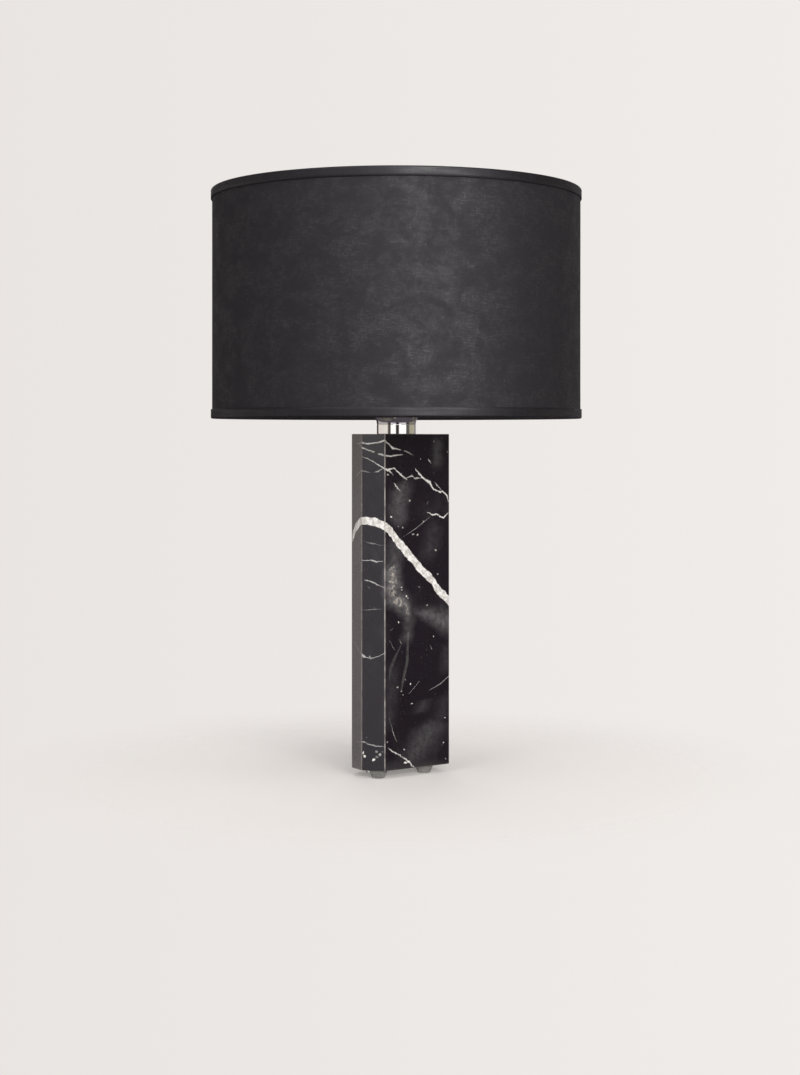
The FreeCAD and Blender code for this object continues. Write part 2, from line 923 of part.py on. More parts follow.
def shade_trim(edge, inward):
    """Tape folded round the shade's rim at level edge; inward is +1 above it, -1 below."""
    outer = shade_radius
    leg = fabric_radius + seat_gap
    fold = trim_inner_radius + trim_fold_thickness
    round_r = trim_edge_radius
    turn = math.sin(math.pi / 4)

    def level(height):
        return edge + inward * height

    outline = [
        (trim_inner_radius, level(0)),
        (outer - round_r, level(0)),
        (
            outer - round_r * (1 - turn),
            level(round_r * (1 - turn)),
            outer,
            level(round_r),
        ),
        (outer, level(trim_height)),
        (leg, level(trim_height)),
        (leg, level(trim_web_thickness)),
        (fold, level(trim_web_thickness)),
        (fold, level(trim_inner_height)),
        (trim_inner_radius, level(trim_inner_height)),
    ]
    return lathe(outline)


def top_trim():
    trim = shade_trim(shade_top, -1)
    notch = arm_rod(spider_arm_radius + turning_gap, ring_radius)
    return trim.cut(round_the_axis(notch, spider_arm_count))


def bottom_trim():
    return shade_trim(shade_bottom, 1)


def finial():
    bottom = spider_hub_top + turning_gap
    collar_top = bottom + finial_collar_height
    taper_top = collar_top + finial_taper_height
    neck_end = taper_top + finial_neck_height
    rise = math.sqrt(finial_ball_radius**2 - finial_neck_radius**2)
    ball_level = neck_end + rise
    hole_top = spider_seat + stud_length + finial_thread_spare
    hole = bore_radius(stud_radius)
    outline = [
        (hole, bottom),
        (finial_collar_radius, bottom),
        (finial_collar_radius, collar_top),
        (finial_neck_radius, taper_top),
        (finial_neck_radius, neck_end),
        (finial_ball_radius, ball_level, 0, ball_level + finial_ball_radius),
        (0, hole_top),
        (hole, hole_top),
    ]
    return lathe(outline)


# ---------------------------------------------------------------- nodes


def build():
    sleeve = harp_sleeve()
    return {
        "marble_column": marble_column(),
        "bumper_feet": bumper_feet(),
        "cord_bushing": cord_bushing(),
        "lamp_rod": lamp_rod(),
        "bottom_washer": bottom_washer(),
        "bottom_nut": bottom_nut(),
        "neck_plate": neck_plate(),
        "neck_tube": neck_tube(),
        "neck_cup": neck_cup(),
        "saddle_washer": saddle_washer(),
        "harp_saddle": harp_saddle(),
        "harp": harp(),
        "harp_stud": harp_stud(),
        "right_harp_sleeve": sleeve,
        "left_harp_sleeve": mirrored_x(sleeve),
        "socket_cap": socket_cap(),
        "socket_shell": socket_shell(),
        "socket_liner": socket_liner(),
        "socket_body": socket_body(),
        "terminal_screws": terminal_screws(),
        "screw_shell": screw_shell(),
        "centre_contact": centre_contact(),
        "switch_cam": switch_cam(),
        "switch_stem": switch_stem(),
        "switch_knob": switch_knob(),
        "bulb_contact": bulb_contact(),
        "bulb_insulator": bulb_insulator(),
        "bulb_cap": bulb_cap(),
        "bulb_glass": bulb_glass(),
        "bulb_stem": bulb_stem(),
        "bulb_filament": bulb_filament(),
        "shade_spider": shade_spider(),
        "shade_top_ring": shade_ring(ring_top_level),
        "shade_bottom_ring": shade_ring(ring_bottom_level),
        "shade_liner": shade_liner(),
        "shade_fabric": shade_fabric(),
        "top_trim": top_trim(),
        "bottom_trim": bottom_trim(),
        "finial": finial(),
    }


def main():
    os.makedirs("parts", exist_ok=True)
    for name, shape in build().items():
        if not shape.isValid():
            print("invalid shape:", name)
        shape.exportStep(os.path.join("parts", name + ".step"))
        print(name, len(shape.Solids), "solids", round(shape.Volume), "mm3")


main()
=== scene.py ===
import bmesh
import bpy
import json
import math

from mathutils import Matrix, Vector, noise


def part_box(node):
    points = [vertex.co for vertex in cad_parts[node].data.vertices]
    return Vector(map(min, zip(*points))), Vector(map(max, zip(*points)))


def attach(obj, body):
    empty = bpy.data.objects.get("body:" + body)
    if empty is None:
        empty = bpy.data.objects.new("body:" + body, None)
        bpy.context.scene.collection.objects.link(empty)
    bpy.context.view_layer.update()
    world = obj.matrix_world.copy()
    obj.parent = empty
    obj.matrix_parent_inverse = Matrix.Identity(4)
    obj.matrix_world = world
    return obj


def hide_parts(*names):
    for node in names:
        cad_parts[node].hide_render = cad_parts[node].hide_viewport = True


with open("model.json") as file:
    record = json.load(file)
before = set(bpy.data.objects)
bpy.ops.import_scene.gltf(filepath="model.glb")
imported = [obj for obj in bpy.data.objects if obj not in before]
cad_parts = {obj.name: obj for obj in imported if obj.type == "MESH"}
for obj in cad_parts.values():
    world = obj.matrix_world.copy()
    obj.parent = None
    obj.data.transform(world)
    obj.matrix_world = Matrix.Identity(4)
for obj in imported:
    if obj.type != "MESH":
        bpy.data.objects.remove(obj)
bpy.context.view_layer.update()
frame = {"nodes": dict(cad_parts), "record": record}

MM = 0.001

# ------------------------------------------------------------------ places, from the frame

column_low, column_high = (Vector(corner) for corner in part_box("marble_column"))
fabric_low, fabric_high = (Vector(corner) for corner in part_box("shade_fabric"))
shade_low = Vector(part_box("bottom_trim")[0])
shade_high = Vector(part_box("top_trim")[1])

# ------------------------------------------------------------------ camera

PHOTO_WIDTH_PX = 800.0
PHOTO_HEIGHT_PX = 1075.0
HORIZON_PX = 434.0
FOCAL_PX = 1821.0
SENSOR_MM = 36.0
CAMERA_AZIMUTH = math.radians(-33.0)
CAMERA_DISTANCE = 1.973
CAMERA_SIDE_STEP = 4.0 * MM
CLIP_START = 0.01
CLIP_END = 100.0

to_camera = Vector((math.sin(CAMERA_AZIMUTH), -math.cos(CAMERA_AZIMUTH), 0))
camera_right = Vector((math.cos(CAMERA_AZIMUTH), math.sin(CAMERA_AZIMUTH), 0))


def make_camera():
    data = bpy.data.cameras.new("camera")
    camera = bpy.data.objects.new("camera", data)
    bpy.context.collection.objects.link(camera)
    place = to_camera * CAMERA_DISTANCE + camera_right * CAMERA_SIDE_STEP
    camera.location = (place.x, place.y, column_high.z)
    camera.rotation_euler = (math.pi / 2, 0, CAMERA_AZIMUTH)
    data.sensor_fit = "AUTO"
    data.sensor_width = SENSOR_MM
    data.lens = FOCAL_PX / PHOTO_HEIGHT_PX * SENSOR_MM
    data.shift_y = (HORIZON_PX - PHOTO_HEIGHT_PX / 2) / PHOTO_HEIGHT_PX
    data.clip_start = CLIP_START
    data.clip_end = CLIP_END
    bpy.context.scene.camera = camera


# ------------------------------------------------------------------ node helpers


def rgb(r, g, b):
    return (r, g, b, 1.0)


class Nodes:
    """Short ways to make and join the nodes of one material or world."""

    def __init__(self, owner):
        owner.use_nodes = True
        self.tree = owner.node_tree
        self.tree.nodes.clear()

    def new(self, kind, **settings):
        node = self.tree.nodes.new(kind)
        for name, value in settings.items():
            setattr(node, name, value)
        return node

    def feed(self, socket, value):
        """Joins value to the socket if it is an output, or sets it there."""
        if isinstance(value, bpy.types.NodeSocket):
            self.tree.links.new(value, socket)
        else:
            socket.default_value = value

    def math(self, operation, a, b=0.0, c=0.0):
        node = self.new("ShaderNodeMath", operation=operation)
        for socket, value in zip(node.inputs, (a, b, c)):
            self.feed(socket, value)
        return node.outputs[0]

    def ramp(self, value, low, high, to_low=0.0, to_high=1.0, smooth=True):
        kind = "SMOOTHSTEP" if smooth else "LINEAR"
        node = self.new("ShaderNodeMapRange", interpolation_type=kind)
        for name, v in (
            ("Value", value),
            ("From Min", low),
            ("From Max", high),
            ("To Min", to_low),
            ("To Max", to_high),
        ):
            self.feed(node.inputs[name], v)
        return node.outputs["Result"]

    def mix(self, factor, a, b, blend="MIX"):
        node = self.new("ShaderNodeMix", data_type="RGBA", blend_type=blend)
        self.feed(node.inputs[0], factor)
        self.feed(node.inputs[6], a)
        self.feed(node.inputs[7], b)
        return node.outputs[2]

    def noise(self, vector, scale, detail=3.0, rough=0.5, warp=0.0):
        node = self.new("ShaderNodeTexNoise")
        self.feed(node.inputs["Vector"], vector)
        node.inputs["Scale"].default_value = scale
        node.inputs["Detail"].default_value = detail
        node.inputs["Roughness"].default_value = rough
        node.inputs["Distortion"].default_value = warp
        return node.outputs["Fac"]

    def stretch(self, vector, scale):
        node = self.new("ShaderNodeMapping")
        self.feed(node.inputs["Vector"], vector)
        node.inputs["Scale"].default_value = scale
        return node.outputs["Vector"]

    def shift(self, vector, offset):
        """Another part of the same noise: the place moved by offset."""
        node = self.new("ShaderNodeMapping")
        self.feed(node.inputs["Vector"], vector)
        node.inputs["Location"].default_value = offset
        return node.outputs["Vector"]

    def split(self, vector):
        node = self.new("ShaderNodeSeparateXYZ")
        self.feed(node.inputs[0], vector)
        return node.outputs[0], node.outputs[1], node.outputs[2]

    def bump(self, height, distance, strength=1.0, normal=None):
        node = self.new("ShaderNodeBump")
        self.feed(node.inputs["Height"], height)
        node.inputs["Distance"].default_value = distance
        node.inputs["Strength"].default_value = strength
        if normal is not None:
            self.feed(node.inputs["Normal"], normal)
        return node.outputs["Normal"]

    def place(self):
        return self.new("ShaderNodeTexCoord").outputs["Object"]

    def cloth_place(self):
        return self.new("ShaderNodeUVMap", uv_map="cloth").outputs["UV"]


def new_material(name):
    material = bpy.data.materials.new(name)
    return material, Nodes(material)


def principled(n, **sockets):
    """The surface shader, with its plain settings written on its own sockets."""
    shader = n.new("ShaderNodeBsdfPrincipled")
    for name, value in sockets.items():
        n.feed(shader.inputs[name.replace("_", " ")], value)
    output = n.new("ShaderNodeOutputMaterial")
    n.tree.links.new(shader.outputs[0], output.inputs["Surface"])
    return shader


# ------------------------------------------------------------------ black marble

# The block's outline, and how far the photographed block leans to the right of it.
COLUMN_CHAMFER = 18.0 * MM
LEAN_AT_TOP_PX = 2.0
LEAN_PER_PX = 2.35 / 300.0

# How the traced pattern goes on behind the front faces: from this y, in millimetres, it
# wanders more and more, up to these sizes in millimetres across and upwards.
WANDER_FROM = -15.0
WANDER_ACROSS = 90.0
WANDER_UP = 110.0
SQUARE_END_TURN = 0.6

# Colours of the stone.
# The first is a painted shade for the walls of the bore and recess.
BORE_SHADE = rgb(0.012, 0.0095, 0.012)
BLACK_LOW = rgb(0.0112, 0.0080, 0.0114)
BLACK_HIGH = rgb(0.0162, 0.0126, 0.0168)
HAZE_GREY = rgb(0.07, 0.068, 0.07)
CLOUD_GREY = rgb(0.17, 0.16, 0.165)
KNOT_CREAM = rgb(0.52, 0.47, 0.40)
SPECK_GREY = rgb(0.3, 0.29, 0.28)
VEIN_WHITE = rgb(0.86, 0.84, 0.8)
SPOT_WHITE = rgb(0.86, 0.84, 0.78)
CALCITE_LOW = rgb(0.56, 0.53, 0.49)
CALCITE_HIGH = rgb(0.92, 0.9, 0.87)
CALCITE_FLAW = rgb(0.15, 0.13, 0.12)
# An edge grey: worn arrises and a painted edge highlight.
EDGE_WEAR_AND_HIGHLIGHT_GREY = rgb(0.42, 0.38, 0.35)
# A grey for the honed, dusty end face, partly a painted sheen.
HONED_SHEEN_GREY = rgb(0.192, 0.178, 0.174)
EDGE_WEAR_AND_HIGHLIGHT_WIDTH = 0.95 * MM

# Where a line's mask starts to fall, as a share of its half width: 1 would be a hard edge.
VEIN_CRISP = 0.45
MAIN_CRISP = 0.93
STREAK_CRISP = -0.5
STREAK_FADE = 0.3

# Veins as lines of (x, y) pixels of the photograph, with a third number where the vein is
# thicker or thinner there. Each has its width in millimetres and its strength.
VEINS = {
    "crown": (1.35, 1.0, [(358.5, 447), (363.5, 442.7, 1.2), (369.5, 443.8), (379.5, 442.7),
                          (386.5, 440.5, 1.2), (390, 443.5), (394.5, 448, 1.2), (404, 450)]),
    "crown_tail": (0.9, 0.6, [(406, 450.7, 0.8), (409.5, 452, 1.2), (412.5, 453.5, 0.6),
                              (416, 456, 0.3)]),
    "under_left": (1.2, 0.8, [(362, 445.5, 0.6), (363.5, 447.7), (369, 449.5),
                              (376.5, 452, 1.3)]),
    "under_right": (1.1, 0.75, [(380.5, 453.5, 0.8), (386.5, 455.5, 1.1), (392.5, 456.3, 1.2),
                                (398.5, 455.2), (405, 454.5, 0.4)]),
    "shoulder": (1.15, 0.95, [(363.5, 456.5, 0.3), (370.5, 459, 0.5), (376.5, 462, 0.7),
                              (381.5, 465.5), (386.5, 468.5, 1.3), (390, 470, 2.0),
                              (393, 469, 1.2), (396.5, 468), (400, 471.5),
                              (404.5, 476, 1.3), (409, 479.5, 1.4)]),
    "shoulder_link": (1.1, 0.8, [(408.5, 478, 0.8), (414.5, 475.8), (417, 478.5, 1.4),
                                 (423.5, 477.8, 0.5)]),
    "shoulder_tick": (0.9, 0.7, [(414, 473.5), (414.7, 476.5)]),
    "drop_upper": (1.2, 0.85, [(389.5, 469.7, 1.2), (393, 472), (395.7, 475)]),
    "drop_lower": (1.2, 0.85, [(396.3, 482.5), (398.5, 486, 1.2), (403, 491.7)]),
    "left_upper": (1.0, 0.6, [(357.5, 479), (360.5, 475), (363.5, 470.7, 1.2), (368, 471.5),
                              (372.7, 472.7)]),
    "left_inner": (1.0, 0.6, [(376, 472.5), (380, 471.5, 1.2), (383.5, 469.5),
                              (386.5, 468.3)]),
    "right_run": (1.55, 1.0, [(417.5, 468.5, 0.4), (420.5, 472.5, 0.8), (424, 476.5, 1.2),
                              (428, 480), (433, 483, 1.3), (434, 486.5, 0.8),
                              (436, 489.5, 0.7), (440, 491, 0.8), (443, 492.3),
                              (444.7, 491)]),
    "right_end": (1.3, 0.95, [(444, 490.7, 0.8), (448.5, 494, 1.2), (450, 498, 0.6),
                              (451, 502, 0.4)]),
    "right_loop": (0.95, 0.6, [(437, 482), (440.5, 486.5), (444.5, 491)]),
    "right_spur": (1.2, 0.8, [(430.4, 458.3), (431.5, 461), (433.3, 463.7)]),
    "right_spur_low": (1.0, 0.5, [(435.7, 471.5), (437.2, 474.3)]),
    "hook": (1.35, 0.95, [(430, 512.2), (435.5, 515), (439, 514), (443, 516.5),
                          (446, 518, 1.2), (451.5, 512)]),
    "hook_dash": (1.2, 0.5, [(430.7, 501), (429.3, 504.5)]),
    "faint_rise": (0.7, 0.32, [(406, 537), (418.5, 528.5, 1), (427, 521.5), (433, 516.5)]),
    "left_a": (0.8, 0.3, [(366, 541.3), (374, 543.3), (387, 545.6)]),
    "left_b": (1.0, 0.6, [(364, 561, 0.5), (370.5, 560.5, 0.8), (375.5, 560.3, 1.4),
                          (379.5, 562, 1.4), (381.3, 561.6, 0.5), (386, 561.4, 0.4)]),
    "left_c": (0.95, 0.55, [(367.5, 580.3, 0.6), (371, 580.5, 1.3), (375.5, 582),
                            (380, 584.5), (387, 587.6, 0.6)]),
    "left_c_dash": (1.3, 0.45, [(370.5, 585.7), (373.2, 588.8)]),
    "left_d": (0.75, 0.25, [(364.5, 610.5), (374.5, 609.5), (386, 609)]),
    "left_d_dash": (1.2, 0.5, [(377, 607.3), (379.2, 610)]),
    "bow": (1.1, 0.6, [(360.5, 649.5, 0.8), (364, 654), (367.3, 656.5, 2.6),
                       (370, 657.3, 0.8), (375.5, 658.3, 0.7), (380.5, 657, 0.6),
                       (385, 655, 0.6), (388.5, 653.3, 0.4)]),
    "left_scratch": (0.9, 0.5, [(365.3, 704), (367.2, 710.3)]),
    "foot_left": (0.95, 0.5, [(359.5, 741.5, 0.5), (367.5, 741.7), (374.5, 744.7),
                              (380.5, 746), (390, 746.7)]),
    "foot_run": (1.1, 0.75, [(392.5, 748), (396, 751), (402, 754), (411.5, 760, 1.2),
                             (414, 762.5, 1.2), (420, 769, 0.8)]),
    "dash_a": (1.2, 0.7, [(393.3, 641), (398.7, 650.3)]),
    "dash_b": (1.3, 0.7, [(402.7, 639.5), (405.7, 644.3)]),
    "dash_c": (1.6, 0.9, [(433.8, 645.6), (435.8, 649.4)]),
    "dash_d": (1.1, 0.85, [(413.2, 693.7), (423.7, 680.7)]),
    "dash_e": (1.2, 0.5, [(393.7, 718), (395.7, 726)]),
    "dash_f": (0.8, 0.45, [(395.5, 725.5), (398, 734, 1), (401.2, 742.3)]),
    "dash_g": (1.2, 0.5, [(393.8, 630.7), (396.7, 628.2)]),
    "faint_low": (0.85, 0.4, [(433, 690.3), (444, 684, 1), (452.5, 676.2, 0.8)]),
    "soft_line": (3.2, 0.07, [(411.7, 632, 0.5), (411, 661.5), (408, 675.5),
                             (405.3, 691, 0.5)]),
    "soft_line_left": (3.2, 0.05, [(405.7, 643), (398.5, 658), (394.5, 669.5),
                                   (393, 681)]),
}
MAIN_VEIN = (8.3, [(354, 538, 0.9), (357, 528, 0.9), (363.5, 521, 0.95), (370.5, 520.6),
                   (378, 522), (387, 525.6), (392.5, 530.3), (398.5, 539, 0.95),
                   (404.5, 545.5), (412, 554.5), (417.5, 561.5), (423.5, 568.7),
                   (430, 574.8, 0.95), (434.5, 579.3, 0.9), (438, 584.8, 0.85),
                   (445, 593.8, 0.95), (453.5, 601.5, 1), (470, 618, 1)])
# Soft grey streaks, traced the same way.
STREAKS = {
    "middle": (15, 0.46, [(410, 474, 0.3), (405.5, 486.5), (402, 498, 1), (399.5, 508, 1),
                         (401, 520, 1), (402, 534, 0.5)]),
    "right_top": (9, 0.36, [(439.5, 432, 1), (440, 449, 1), (439.5, 463, 1), (438, 474)]),
    "right_under": (15, 0.17, [(438.5, 516), (436.5, 529.5, 1), (433, 548, 1), (426, 566)]),
    "knot_top": (13, 0.42, [(397, 532), (398, 550), (397, 570), (396, 580)]),
    "knot": (15, 0.95, [(396, 556), (395, 578), (395.5, 594), (398, 612)]),
    "knot_foot": (12, 0.95, [(386, 588), (399, 599), (407, 604), (413, 613),
                             (419, 624)]),
    "tail": (10, 0.4, [(414.5, 609, 1), (413, 620, 1), (411.5, 630, 0.8), (409, 648)]),
    "right_arm": (11, 0.62, [(410, 608, 0.5), (422, 612, 0.7), (435.5, 615.5, 1.1),
                             (444, 620, 1.4), (452, 622.5, 1.5), (474, 623, 1.5)]),
    "low": (20, 0.38, [(441, 714, 0.5), (434.5, 727), (427.5, 740, 1.1), (420.5, 754),
                       (413, 768, 0.7)]),
    "left_low": (12, 0.16, [(397.5, 655), (395.5, 690, 1), (393.5, 716, 1), (392, 738)]),
    "right_low": (14, 0.13, [(449.5, 690), (447, 707, 1), (444, 724)]),
    "right_edge": (10, 0.17, [(451, 640), (450, 660, 1), (449, 678)]),
    "small": (11, 0.2, [(431, 697), (426.5, 706.5, 1), (422, 716)]),
}
# Spots: x and y in the photograph, width and height in millimetres, strength.
SPOTS = [
    (367.8, 753.4, 3, 4.6, 0.95), (369.2, 756.7, 4.6, 3.6, 0.95), (378.3, 760.4, 5.6, 3.6, 0.9),
    (410.3, 763, 6, 3.4, 0.9), (413.3, 761.5, 4.0, 3, 0.85), (380.5, 752.5, 6, 4.4, 0.42),
    (384.5, 755.5, 6.4, 4.4, 0.5), (381.5, 758, 7, 4, 0.36), (387, 752.7, 3.4, 2.6, 0.3),
    (422.5, 459, 2, 2, 0.5), (449.5, 451.5, 2, 2, 0.7), (436.5, 440.5, 2.2, 2.6, 0.5),
    (390, 474, 2.4, 2.4, 0.5), (412.3, 501, 2.6, 2.8, 0.5), (394, 517, 2.4, 2.4, 0.8),
    (405.5, 528, 2.2, 3, 0.65), (401, 526.5, 2, 2, 0.4), (415.5, 533.7, 2.2, 2.6, 0.55),
    (420, 534, 2.6, 3.8, 0.6), (426.5, 521, 2, 2.2, 0.5), (409.7, 595.7, 2.6, 3.2, 0.95),
    (411, 598, 2.2, 2.6, 0.6), (404.6, 586.7, 2, 2.2, 0.6), (405.2, 589.7, 2.2, 2.2, 0.7),
    (422.5, 587, 2.2, 2, 0.4), (402, 622.2, 2.8, 3.2, 0.75), (437.2, 637, 2.2, 3, 0.6),
    (438.5, 550, 2, 3.4, 0.6), (440.5, 574, 2.2, 3.2, 0.55), (430.5, 604.7, 2, 2.6, 0.5),
    (394.5, 567.5, 2, 2, 0.5), (414.6, 683.5, 2.4, 3, 0.85), (409.5, 679, 2.2, 2.2, 0.5),
    (401.2, 688.3, 2.2, 3, 0.55), (405, 691.5, 2, 2, 0.6), (407, 695.3, 1.8, 1.8, 0.5),
    (416, 703.5, 2, 2, 0.6), (449.5, 717, 2, 2, 0.7), (448, 742, 2.2, 2, 0.7),
    (450, 758.5, 2.6, 2.4, 0.45), (408.6, 749.6, 2, 2, 0.7), (391.6, 742, 2.4, 3, 0.5),
    (373.5, 656.3, 2, 1.8, 0.6), (374.5, 659, 1.8, 1.6, 0.4), (371, 738, 2.2, 2, 0.3),
    (451.5, 437, 3.4, 4, 0.35),
]


def on_column(x, y):
    """The point (w, z) of the front faces, in millimetres, that shows at a photo pixel."""
    lean = LEAN_AT_TOP_PX + (y - HORIZON_PX) * LEAN_PER_PX
    eye = to_camera * CAMERA_DISTANCE + camera_right * CAMERA_SIDE_STEP
    eye.z = column_high.z
    ray = camera_right * (x - lean - PHOTO_WIDTH_PX / 2) - to_camera * FOCAL_PX
    ray.z = HORIZON_PX - y
    half_length, half_depth = column_high.x, column_high.y
    corner = half_length + half_depth - COLUMN_CHAMFER
    faces = [
        (Vector((-1, 0, 0)), half_length),
        (Vector((-1, -1, 0)), corner),
        (Vector((0, -1, 0)), half_depth),
    ]
    reach = max((off - eye.dot(normal)) / ray.dot(normal) for normal, off in faces)
    hit = eye + ray * reach
    return (hit.x - hit.y) / MM, hit.z / MM


def float_curve(n, value, places):
    """A float curve through places, straight between them, from 0 to 1 both ways."""
    node = n.new("ShaderNodeFloatCurve")
    n.feed(node.inputs["Value"], value)
    curve = node.mapping.curves[0]
    curve.points[0].location = places[0]
    curve.points[1].location = places[-1]
    for place in places[1:-1]:
        curve.points.new(*place)
    for point in curve.points:
        point.handle_type = "VECTOR"
    node.mapping.update()
    return node.outputs["Value"]


END_WIDTH = 0.15
LEAST_SPAN = 0.1
NO_WIDTH = 0.001


def traced_points(points, fade):
    """The photo points as (w, z, width factor). Where the ends don't fade, they taper."""
    traced = []
    for index, point in enumerate(points):
        inner = 0 < index < len(points) - 1
        factor = point[2] if len(point) > 2 else (1.0 if inner or fade else END_WIDTH)
        traced.append((*on_column(point[0], point[1]), factor))
    return traced


def runs_upwards(traced):
    """Whether the line has one w at each z, and reaches further that way."""
    reaches, steady = [], []
    for axis in (0, 1):
        steps = [b[axis] - a[axis] for a, b in zip(traced, traced[1:])]
        reaches.append(abs(sum(steps)))
        steady.append(min(steps) > 0 or max(steps) < 0)
    return steady[1] and (not steady[0] or reaches[1] > reaches[0])


def half_widths(traced, width):
    """Half the width at each point, measured across the axis that the line runs along."""
    slopes = [(q[1] - p[1]) / (q[0] - p[0]) for p, q in zip(traced, traced[1:])]
    slopes = [slopes[0]] + slopes + [slopes[-1]]
    halves = []
    for point, before, after in zip(traced, slopes, slopes[1:]):
        slope = (abs(before) + abs(after)) / 2
        halves.append(width / 2 * point[2] * math.hypot(1, slope))
    return halves


def line_mask(n, w, z, width, points, crisp, fade=0.0):
    """1 along the line through the photo points, falling to 0 at its width. fade is the
    share of its length over which each end dies away."""
    traced = traced_points(points, fade)
    if runs_upwards(traced):
        traced = [(level, turn, factor) for turn, level, factor in traced]
        w, z = z, w
    traced.sort()
    a0, a1 = traced[0][0], traced[-1][0]
    b0 = min(point[1] for point in traced)
    b_span = max(max(point[1] for point in traced) - b0, LEAST_SPAN)
    halves = half_widths(traced, width)
    widest = max(halves)
    along = n.ramp(w, a0, a1, smooth=False)
    fractions = [(point[0] - a0) / (a1 - a0) for point in traced]
    middles = [(point[1] - b0) / b_span for point in traced]
    centre = float_curve(n, along, list(zip(fractions, middles)))
    centre = n.math("MULTIPLY_ADD", centre, b_span, b0)
    shares = [half / widest for half in halves]
    half = float_curve(n, along, list(zip(fractions, shares)))
    inside = n.math("COMPARE", w, (a0 + a1) / 2, (a1 - a0) / 2)
    half = n.math("MULTIPLY_ADD", n.math("MULTIPLY", half, widest), inside, NO_WIDTH)
    away = n.math("ABSOLUTE", n.math("SUBTRACT", z, centre))
    mask = n.ramp(n.math("DIVIDE", away, half), crisp, 2.0 - crisp, 1.0, 0.0)
    if fade:
        start = n.ramp(along, 0.0, fade)
        end = n.ramp(along, 1.0 - fade, 1.0, 1.0, 0.0)
        mask = n.math("MULTIPLY", mask, n.math("MULTIPLY", start, end))
    return mask


def spot_mask(n, w, z, x, y, width, height, strength):
    """A soft oval spot on the front faces, at a photo pixel."""
    centre_w, centre_z = on_column(x, y)
    dw = n.math("MULTIPLY", n.math("SUBTRACT", w, centre_w), 2.0 / width)
    dz = n.math("MULTIPLY", n.math("SUBTRACT", z, centre_z), 2.0 / height)
    square = n.math("MULTIPLY_ADD", dw, dw, n.math("MULTIPLY", dz, dz))
    return n.ramp(square, 0.15, 0.9, strength, 0.0)


def strongest(n, masks):
    total = masks[0]
    for mask in masks[1:]:
        total = n.math("MAXIMUM", total, mask)
    return total


def centred(n, vector, scale, detail, size):
    """Noise about zero, size from end to end."""
    return n.math("MULTIPLY", n.math("SUBTRACT", n.noise(vector, scale, detail), 0.5), size)


def block_coordinates(n, place):
    """w runs along the front faces as x - y does, and on round the square end; both it and
    z are in millimetres, and wander more the deeper they are in the block."""
    x, y, z = n.split(place)
    x_mm = n.math("MULTIPLY", x, 1000.0)
    y_mm = n.math("MULTIPLY", y, 1000.0)
    half_length, half_depth = column_high.x / MM, column_high.y / MM
    chamfer_x = -half_length + COLUMN_CHAMFER / MM
    turn = n.ramp(x_mm, chamfer_x, half_length, -1.0, SQUARE_END_TURN)
    depth = n.math("ADD", y_mm, half_depth)
    w = n.math("ADD", x_mm, n.math("MULTIPLY_ADD", turn, depth, half_depth))
    deep = n.ramp(y_mm, WANDER_FROM, half_depth)
    drift = n.math("MULTIPLY", deep, centred(n, place, 14.0, 2.0, WANDER_ACROSS))
    lift = n.math("MULTIPLY", deep,
                  centred(n, n.shift(place, (3, 1, 2)), 11.0, 2.0, WANDER_UP))
    w = n.math("ADD", w, drift)
    z = n.math("MULTIPLY_ADD", z, 1000.0, lift)
    return w, z, deep


def near_column_edges(n, place, width):
    """1 on the block's edges, where worn arrises and a painted edge highlight go, 0 at width
    from them.
    """
    x, y, z = n.split(place)
    side = n.math("ABSOLUTE", y)
    half_length, half_depth = column_high.x, column_high.y
    corners = [
        (-half_length, half_depth - COLUMN_CHAMFER),
        (-half_length + COLUMN_CHAMFER, half_depth),
        (half_length, half_depth),
    ]
    reaches = []
    for corner_x, corner_y in corners:
        dx = n.math("SUBTRACT", x, corner_x)
        dy = n.math("SUBTRACT", side, corner_y)
        reaches.append(n.math("MULTIPLY_ADD", dx, dx, n.math("MULTIPLY", dy, dy)))
    nearest = n.math("MINIMUM", n.math("MINIMUM", reaches[0], reaches[1]), reaches[2])
    upright = n.ramp(n.math("SQRT", nearest), width * 0.35, width, 1.0, 0.0)
    middle = (column_low.z + column_high.z) / 2
    end = n.math("SUBTRACT", column_high.z - middle,
                 n.math("ABSOLUTE", n.math("SUBTRACT", z, middle)))
    return n.math("MAXIMUM", upright, n.ramp(end, width * 0.2, width * 0.6, 0.6, 0.0))


SKIN = 2.0 * MM


def in_bores(n, place):
    """1 on the walls of the rod's bore and the recess, painted dark there as shade. They lie
    deeper in the block's outline than SKIN."""
    x, y, z = n.split(place)
    x, y = n.math("ABSOLUTE", x), n.math("ABSOLUTE", y)
    corner = column_high.x + column_high.y - COLUMN_CHAMFER
    inside = 1.0
    for value, limit in (
        (x, column_high.x),
        (y, column_high.y),
        (n.math("ADD", x, y), corner),
        (z, column_high.z),
    ):
        inside = n.math("MULTIPLY", inside,
                        n.ramp(value, limit - SKIN, limit - SKIN / 2, 1.0, 0.0))
    return inside


def thin_veins(n, place, w, z, broken):
    """The traced thin veins, with breaks in them."""
    jag = centred(n, place, 420.0, 3.0, 2.2)
    w = n.math("ADD", w, jag)
    z = n.math("ADD", z, jag)
    masks = []
    for width, strength, points in VEINS.values():
        mask = line_mask(n, w, z, width, points, VEIN_CRISP)
        masks.append(n.math("MULTIPLY", mask, strength))
    return n.math("MULTIPLY", strongest(n, masks), n.ramp(broken, 0.36, 0.52, 0.55, 1.0))


def main_vein(n, place, w, z):
    rough_edge = centred(n, place, 170.0, 5.0, 3.4)
    width, points = MAIN_VEIN
    return line_mask(n, n.math("ADD", w, rough_edge), n.math("ADD", z, rough_edge),
                     width, points, MAIN_CRISP)


def all_spots(n, place, w, z):
    ragged_w = n.math("ADD", w, centred(n, place, 300.0, 4.0, 5.6))
    ragged_z = n.math("ADD", z, centred(n, n.shift(place, (5, 5, 5)), 60.0, 4.0, 5.6))
    return strongest(n, [spot_mask(n, ragged_w, ragged_z, *spot) for spot in SPOTS])


